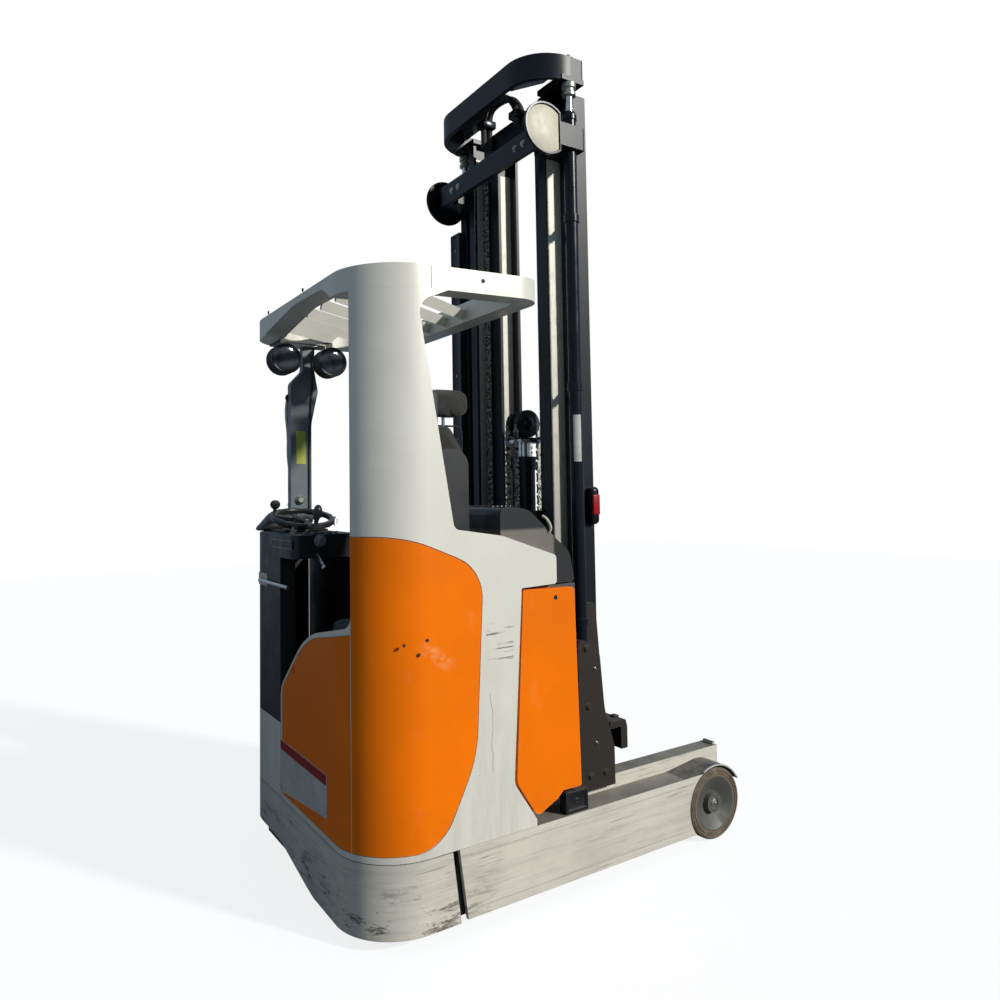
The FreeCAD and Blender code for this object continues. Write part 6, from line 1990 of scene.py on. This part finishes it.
def free_lift_chains():
    """Two chains over the free-lift head, from the inner stage down to the fork carriage."""
    middle, axle, inner_end, fork_end = free_lift_places()
    for side, across in SIDES:
        y = across * FREE_CHAIN_ACROSS
        rear = chain((middle - FREE_CHAIN_REACH, y, inner_end), axle, FREE_CHAIN_WIDTH)
        stretch(rear, side + "_free_rear_chain", chain_steel, ("inner_stage", "free_lift_piston"),
                ((middle, y, inner_end), (middle, y, axle)))
        front = chain((middle + FREE_CHAIN_REACH, y, fork_end + 0.012), axle, FREE_CHAIN_WIDTH)
        finish(front, side + "_free_front_chain", chain_steel, "free_lift_piston")
        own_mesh(front)


def free_chain_ends():
    """The free-lift chains' anchors: on the inner stage, and on a bar of the fork carriage."""
    middle, _, inner_end, fork_end = free_lift_places()
    anchors = free_chain_anchors(middle - FREE_CHAIN_REACH, inner_end - 0.012)
    finish(join(*anchors), "free_chain_anchors", bare_steel, "inner_stage")
    bar = start_box((middle + 0.048, -0.106, fork_end - 0.050),
                    (middle + 0.076, 0.106, fork_end - 0.018))
    ends = free_chain_anchors(middle + FREE_CHAIN_REACH, fork_end)
    finish(join(soften(bar, 0.003), *ends), "fork_chain_bar", carriage_paint, "fork_lift")


def free_pulley_caps():
    """Domed caps on both sides of the free-lift head's pulleys."""
    middle, axle, _, _ = free_lift_places()
    caps = [lathe((middle, side * 0.046, axle), (0, side, 0),
                  [(0, 0.030), (0.004, 0.030), (0.007, 0.024), (0.012, 0.016), (0.014, 0.010)], 28)
            for side in (RIGHT, LEFT)]
    finish(join(*caps), "free_pulley_caps", gloss_black, "free_lift_piston")


class TRUCK_OT_chains(bpy.types.Operator):
    """Lift chains with their pulleys and anchors"""
    bl_idname = "truck.chains"
    bl_label = "Chains"

    def execute(self, context):
        return run(chain_pulleys, main_chains, free_lift_chains, free_chain_ends, free_pulley_caps)


def top_hoses():
    """Two hoses that arch over the tie."""
    arch = [tube_at(HOSE_ARCH, sizes().hose_radius * 1.45, 5, (shift, 0.0))
            for shift in (0.0, 0.032)]
    finish(join(*arch), "top_hoses", rubber, "middle_stage")


def hose_clamps():
    """Clamps that hold the arched hoses at both ends."""
    clamp = box_at(*HOSE_CLAMP)
    other = copy_of(clamp, OTHER_CLAMP)
    finish(soften(join(clamp, other), 0.004), "hose_clamps", gloss_black, "middle_stage")


def tie_end_pulley():
    """The black disc at the tie's left end."""
    disc = lathe(at(*TIE_DISC), (0, 1, 0),
                 [(0, 0.020), (0.004, 0.022), (0.004, 0.044), (0, 0.050), (0.0, 0.106),
                  (0.004, 0.110), (0.010, 0.110), (0.014, 0.106), (0.014, 0.050),
                  (0.018, 0.044), (0.018, 0.022), (0.014, 0.020)], 48, True)
    finish(disc, "tie_end_pulley", gloss_black, "reach_body")


def tie_end_plate():
    """The D-shaped end plate of the tie: a pale face inside a black rim."""
    radius = TIE_PLATE_RADIUS
    centre = at(*TIE_PLATE)
    first = -math.acos(TIE_PLATE_FLAT / radius)
    arc = [first - (2 * math.pi + 2 * first) * step / 28 for step in range(29)]
    outline = [Vector((math.cos(turn), 0, math.sin(turn))) for turn in arc]
    face = plate([centre + spot * (radius - 0.010) for spot in outline], (0, -0.010, 0))
    finish(soften(face, 0.002), "tie_end_face", cream_plastic, "reach_body")
    outer = plate([centre + spot * radius for spot in outline], (0, -0.016, 0))
    inner = plate([centre + Vector((0, 0.010, 0)) + spot * (radius - 0.0095) for spot in outline],
                  (0, -0.040, 0))
    apply_modifier(outer, "BOOLEAN", operation="DIFFERENCE", object=inner)
    bpy.data.objects.remove(inner)
    finish(soften(outer, 0.0015, 1), "tie_end_rim", gloss_black, "reach_body")


def bow_corners():
    """Flat plates that close the bow's two rear corners from below."""
    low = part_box("middle_mast")[1].z - 0.030
    corner = plate([at(along, across, low) for along, across in BOW_CORNER], (0, 0, 0.012))
    pair(soften(corner, 0.002), "bow_corner", gloss_black, "middle_stage")


def lift_cylinder():
    """The right lift cylinder's foot and top, on its centre line, and its radius."""
    low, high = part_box("right_lift_cylinder")
    middle = middle_of("right_lift_cylinder")
    return (Vector((middle.x, middle.y, low.z)), Vector((middle.x, middle.y, high.z)),
            (high.x - low.x) / 2)


def cylinder_glands():
    """Ringed gland nuts at the lift cylinders' tops."""
    _, top, radius = lift_cylinder()
    gland = lathe(top - Vector((0, 0, 0.030)), (0, 0, 1),
                  [(0, radius), (0.002, radius + 0.004), (0.022, radius + 0.004),
                   (0.024, radius + 0.0015), (0.034, radius - 0.001), (0.038, radius - 0.006),
                   (0.038, 0.0175), (0.030, 0.0172)], 40, True)
    pair(gland, "cylinder_gland", gloss_black, "reach_body")


def rod_heads():
    """Ringed heads on the lift rods, below the bow."""
    middle = middle_of("right_lift_rod")
    rod_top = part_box("right_lift_rod")[1].z
    head = lathe((middle.x, middle.y, rod_top - 0.060), (0, 0, 1),
                 [(0, 0.0175), (0.002, 0.029), (0.014, 0.029), (0.018, 0.024), (0.030, 0.024),
                  (0.034, 0.030), (0.054, 0.030), (0.058, 0.026), (0.0590, 0.0175)], 36, True)
    pair(head, "rod_head", bare_steel, "middle_stage")


def cylinder_feet():
    """Chamfered collars round the lift cylinders' feet."""
    low, _, radius = lift_cylinder()
    foot = lathe(low + Vector((0, 0, 0.0003)), (0, 0, 1),
                 [(0, radius + 0.012), (0.016, radius + 0.012), (0.020, radius + 0.008),
                  (0.022, radius + 0.0005), (0.0, radius + 0.0005)], 36, True)
    pair(foot, "cylinder_foot", gloss_black, "reach_body")


def cylinder_clamps():
    """Bands with ears that tie the lift cylinders to the outer rails."""
    middle, _, radius = lift_cylinder()
    clips = []
    for up in CLAMP_HEIGHTS:
        band = lathe((middle.x, middle.y, up), (0, 0, 1),
                     [(0, radius + 0.0005), (0, radius + 0.005), (0.030, radius + 0.005),
                      (0.030, radius + 0.0005)], 36, True)
        ear = start_box((middle.x + 0.026, middle.y + 0.010, up),
                        (middle.x + 0.040, middle.y + 0.058, up + 0.030))
        clips += [band, soften(ear, 0.002)]
    pair(join(*clips), "cylinder_clamps", gloss_black, "reach_body")


def cylinder_label():
    """Blank label wrapped part of the way round the right lift cylinder."""
    middle, _, radius = lift_cylinder()
    turns = [math.radians(step * 9 - 118) for step in range(-4, 5)]
    arcs = [(radius * 1.012, turn) for turn in turns]
    arcs += [(radius * 1.012 * 0.97, turn) for turn in reversed(turns)]
    label = plate([Vector((middle.x + reach * math.cos(turn), middle.y + reach * math.sin(turn),
                           CYLINDER_LABEL_UP)) for reach, turn in arcs],
                  (0, 0, CYLINDER_LABEL_HEIGHT))
    finish(label, "cylinder_label", label_white, "reach_body")


def mast_bulge():
    """Rounded bulge beside the right rail, with its red marker."""
    first, last, bottom, top = BULGE
    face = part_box("outer_mast")[0].y
    bulge = start_box(at(first, face + 0.062, bottom), at(last, face + 0.112, top))
    soften(bulge, 0.020, 5)
    finish(bulge, "mast_bulge", gloss_black, "reach_body", angle=40)
    first, last, bottom, top = MARKER
    marker = start_box(at(first, face + 0.058, bottom), at(last, face + 0.070, top))
    finish(soften(marker, 0.005, 3), "mast_marker", red_paint, "reach_body")


def duct_box():
    """Two corners of the hose duct beside the left rails."""
    return at(0.962, 0.376, DUCT_LOW), at(0.999, 0.462, DUCT_TOP)


def hose_duct():
    """The folded duct for the hoses, with a sunk face."""
    low, high = duct_box()
    duct = start_box(low, high)
    sink_faces(duct, (-1, 0, 0), 0.010, 0.003)
    finish(soften(duct, 0.005, 3), "hose_duct", gloss_black, "reach_body")


def duct_screws():
    """A row of screws up the hose duct."""
    low, high = duct_box()
    screws = [cap_screw((low.x + 0.0035, (low.y + high.y) / 2, DUCT_LOW + 0.08 + 0.314 * step),
                        (-1, 0, 0), 0.007, 0.004) for step in range(6)]
    finish(join(*screws), "hose_duct_screws", bare_steel, "reach_body")


def duct_straps():
    """Straps that tie the hose duct to the rail."""
    low, high = duct_box()
    straps = [start_box((low.x + 0.030, high.y - 0.030, DUCT_LOW + 0.2 + 0.6 * step),
                        (low.x + 0.070, high.y - 0.004, DUCT_LOW + 0.23 + 0.6 * step))
              for step in range(3)]
    finish(soften(join(*straps), 0.002), "hose_duct_straps", gloss_black, "reach_body")


def tie_bolts():
    """Bolts in the tie's rear face."""
    radius = sizes().bolt_radius
    along, up = TIE_BOLT_PLACE
    tie = [hex_bolt(at(along, across, up), (-1, 0, 0), radius, 0.009) for across in TIE_BOLTS]
    finish(join(*tie), "tie_bolts", bare_steel, "reach_body")


def bow_bolts():
    """Bolts that hold the bow on the lift rods."""
    radius = sizes().bolt_radius
    bow_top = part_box("middle_mast")[1].z
    along, across = BOW_BOLT
    caps = [hex_bolt((REAR + along, side * across, bow_top), (0, 0, 1), radius * 1.4, 0.012)
            for side in (RIGHT, LEFT)]
    finish(join(*caps), "bow_bolts", bare_steel, "middle_stage")


def slide_pads():
    """Pale slide pads between the outer and the middle rails."""
    pad = soften(box_at(*SLIDE_PAD), 0.0015)
    pair(pad, "slide_pad", cream_plastic, "middle_stage")


def mast_hoses():
    """Grey hose bundle at the mast's foot, clipped to the reach body."""
    bundle = [tube_at(FOOT_HOSE_LINE, sizes().hose_radius, 4, (0.0, -0.021 * step))
              for step in range(3)]
    finish(join(*bundle), "mast_hoses", post_paint, "reach_body")


def hose_clips():
    """Clips that hold the hose bundle."""
    clip = box_at(*HOSE_CLIP)
    clips = soften(join(clip, copy_of(clip, (0, 0, CLIP_PITCH))), 0.004)
    finish(clips, "hose_clips", bare_steel, "reach_body")


class TRUCK_OT_mast_trim(bpy.types.Operator):
    """Hoses, end plates, rod heads, label, duct and bolts of the mast"""
    bl_idname = "truck.mast_trim"
    bl_label = "Mast trim"

    def execute(self, context):
        return run(top_hoses, hose_clamps, tie_end_pulley, tie_end_plate, bow_corners,
                   cylinder_glands, rod_heads, cylinder_feet, cylinder_clamps, cylinder_label,
                   mast_bulge, hose_duct, duct_screws, duct_straps, tie_bolts, bow_bolts,
                   slide_pads, mast_hoses, hose_clips)


def carriage_bolts():
    """Bolts on the reach carriage's side plates."""
    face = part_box("reach_carriage")[0].y + 0.0002
    bolts = [hex_bolt(at(along, face, up), (0, -1, 0), sizes().bolt_radius, 0.009)
             for along, up in CARRIAGE_BOLTS]
    pair(join(*bolts), "carriage_bolts", carriage_paint, "reach_body")


def carriage_nipples():
    """Grease nipples on the reach carriage's side plates."""
    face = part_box("reach_carriage")[0].y + 0.0002
    grease = [lathe(at(along, face, up), OUTWARD,
                    [(0, 0.006), (0.004, 0.006), (0.006, 0.003), (0.011, 0.003)], 12)
              for along, up in CARRIAGE_NIPPLES]
    pair(join(*grease), "carriage_nipples", bare_steel, "reach_body")


def fork_bar_stops():
    """Rounded stops at the lower bar's ends."""
    low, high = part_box("fork_carriage")
    stop = rod((high.x - 0.042, low.y + 0.022, low.z + 0.030),
               (high.x + 0.010, low.y + 0.022, low.z + 0.030), 0.034, 32, 0.006)
    nut = hex_bolt((high.x + 0.010, low.y + 0.022, low.z + 0.030), (1, 0, 0), 0.017, 0.008)
    pair(join(stop, nut), "fork_bar_stop", carriage_paint, "fork_lift")


def fork_bar_teeth():
    """Teeth along the upper bar."""
    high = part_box("fork_carriage")[1]
    bar_top = CAD_LOW.z + TOOTH_UP
    tooth = start_box((high.x - 0.030, TOOTH_FIRST, bar_top - 0.001),
                      (high.x - 0.004, TOOTH_FIRST + 0.030, bar_top + 0.007))
    teeth = row_of(soften(tooth, 0.002), 8, (0, TOOTH_PITCH, 0))
    finish(teeth, "fork_bar_teeth", carriage_paint, "fork_lift")


class TRUCK_OT_carriage_trim(bpy.types.Operator):
    """Bolts and stops of the reach carriage and the fork carriage"""
    bl_idname = "truck.carriage_trim"
    bl_label = "Carriage trim"

    def execute(self, context):
        return run(carriage_bolts, carriage_nipples, fork_bar_stops, fork_bar_teeth)


# ------------------------------------------------------------------ stage
CAMERA_PLACE = (-0.977, -2.912, 1.441)      # along, across and up
CAMERA_HEADING = 33.92                      # degrees from +Y towards +X
CAMERA_PITCH = 3.03
CAMERA_ROLL = -1.0
CAMERA_LENS = 28.17
CAMERA_SHIFT = (-0.0085, -0.0493)
FLOOR_HALF = 14.0
SUN_HEIGHT = 27.0
SUN_HEADING = 150.0                         # where it shines from, from +Y towards +X
SUN_POWER = 3.3
SKY_POWER = 0.26
SUN_COLOUR = (1.0, 0.975, 0.925)
SUN_WIDTH = 4.0                             # degrees, which softens the shadows' edges
WHITE = (1.0, 1.0, 1.0)
SKY_TINT = (0.58, 0.77, 1.0)
SKY_GLOSS = 0.40                            # what reflections see of the sky
FLOOR_SHADES = ((0.20, 0.21, 0.22), (0.22, 0.23, 0.24))
FLOOR_GLOW = 0.84                           # added to the floor for the camera alone


def add_floor():
    """A wide pale floor, which glows a little for the camera so that it reads as white."""
    clear()
    bpy.ops.mesh.primitive_plane_add(size=2 * FLOOR_HALF)
    floor = settle()
    floor.name = "studio_floor"
    edit_all()
    bpy.ops.mesh.subdivide(number_cuts=4)
    bpy.ops.object.mode_set(mode="OBJECT")
    paint = Paint("studio floor")
    paint.ground(paint.noise(2.0, 2.0), *FLOOR_SHADES)
    paint.set(Roughness=1.0, Specular_IOR_Level=0.0, Emission_Color=WHITE,
              Emission_Strength=paint.is_ray("Camera") * FLOOR_GLOW)
    floor.data.materials.append(paint.material)


def add_sky():
    """Even skylight: white to the camera, bluish on the truck, brighter in reflections."""
    world = bpy.data.worlds.new("studio sky")
    world.use_nodes = True
    bpy.context.scene.world = world
    sky = Nodes(world.node_tree)
    background = sky.tree.nodes["Background"].inputs
    power = sky.fade(sky.is_ray("Glossy"), 0.0, 1.0, SKY_POWER, SKY_GLOSS)
    sky.feed(background["Strength"], sky.fade(sky.is_ray("Camera"), 0.0, 1.0, power, 1.0))
    sky.feed(background["Color"], sky.mix(sky.is_ray("Camera"), SKY_TINT, WHITE))


def add_sun():
    """A low sun from the truck's right."""
    light = bpy.data.lights.new("low sun", "SUN")
    light.energy = SUN_POWER
    light.angle = math.radians(SUN_WIDTH)
    light.color = SUN_COLOUR
    sun = bpy.data.objects.new("low sun", light)
    bpy.context.scene.collection.objects.link(sun)
    heading, height = math.radians(SUN_HEADING), math.radians(SUN_HEIGHT)
    towards = Vector((math.sin(heading) * math.cos(height),
                      math.cos(heading) * math.cos(height), math.sin(height)))
    sun.rotation_euler = turn_to(towards)


def add_camera():
    """The view from behind and to the right."""
    data = bpy.data.cameras.new("view")
    data.lens = CAMERA_LENS
    data.sensor_width = 36
    data.shift_x, data.shift_y = CAMERA_SHIFT
    camera = bpy.data.objects.new("view", data)
    bpy.context.scene.collection.objects.link(camera)
    camera.location = at(*CAMERA_PLACE)
    level = Matrix.Rotation(math.radians(-CAMERA_HEADING), 4, "Z")
    raised = Matrix.Rotation(math.radians(90 + CAMERA_PITCH), 4, "X")
    rolled = Matrix.Rotation(math.radians(CAMERA_ROLL), 4, "Z")
    camera.rotation_euler = (level @ raised @ rolled).to_euler()
    bpy.context.scene.camera = camera


class TRUCK_OT_stage(bpy.types.Operator):
    """Plain pale floor, soft daylight and the camera"""
    bl_idname = "truck.stage"
    bl_label = "Stage"

    def execute(self, context):
        add_floor()
        add_sky()
        add_sun()
        add_camera()
        context.scene.view_settings.view_transform = "Standard"
        return {"FINISHED"}


# ------------------------------------------------------------------ panel and running
STEPS = [
    TRUCK_OT_paint_frame,
    TRUCK_OT_body_trim,
    TRUCK_OT_legs_trim,
    TRUCK_OT_wheel_trim,
    TRUCK_OT_guard_trim,
    TRUCK_OT_console,
    TRUCK_OT_steering_floor,
    TRUCK_OT_seat,
    TRUCK_OT_chains,
    TRUCK_OT_mast_trim,
    TRUCK_OT_carriage_trim,
    TRUCK_OT_stage,
]


class TRUCK_PT_looks(bpy.types.Panel):
    """Lists the steps that dress the truck, and what a user may change"""
    bl_idname = "TRUCK_PT_looks"
    bl_label = "Reach truck"
    bl_space_type = "VIEW_3D"
    bl_region_type = "UI"
    bl_category = "Reach truck"

    def draw(self, context):
        for group in (context.scene.truck_sizes, context.scene.truck_colours):
            box = self.layout.box()
            for name in type(group).__annotations__:
                box.prop(group, name)
        for step in STEPS:
            self.layout.operator(step.bl_idname)


def register():
    """Makes the steps, the panel and the settings known to Blender."""
    for kind in (TruckSizes, TruckColours, *STEPS, TRUCK_PT_looks):
        bpy.utils.register_class(kind)
    bpy.types.Scene.truck_sizes = bpy.props.PointerProperty(type=TruckSizes)
    bpy.types.Scene.truck_colours = bpy.props.PointerProperty(type=TruckColours)


def unregister():
    """Takes away what register() added."""
    del bpy.types.Scene.truck_colours
    del bpy.types.Scene.truck_sizes
    for kind in (TRUCK_PT_looks, *reversed(STEPS), TruckColours, TruckSizes):
        bpy.utils.unregister_class(kind)


def main():
    """Dresses the truck, step by step."""
    register()
    for step in STEPS:
        group, call = step.bl_idname.split(".")
        getattr(getattr(bpy.ops, group), call)()


if __name__ == "__main__":
    main()
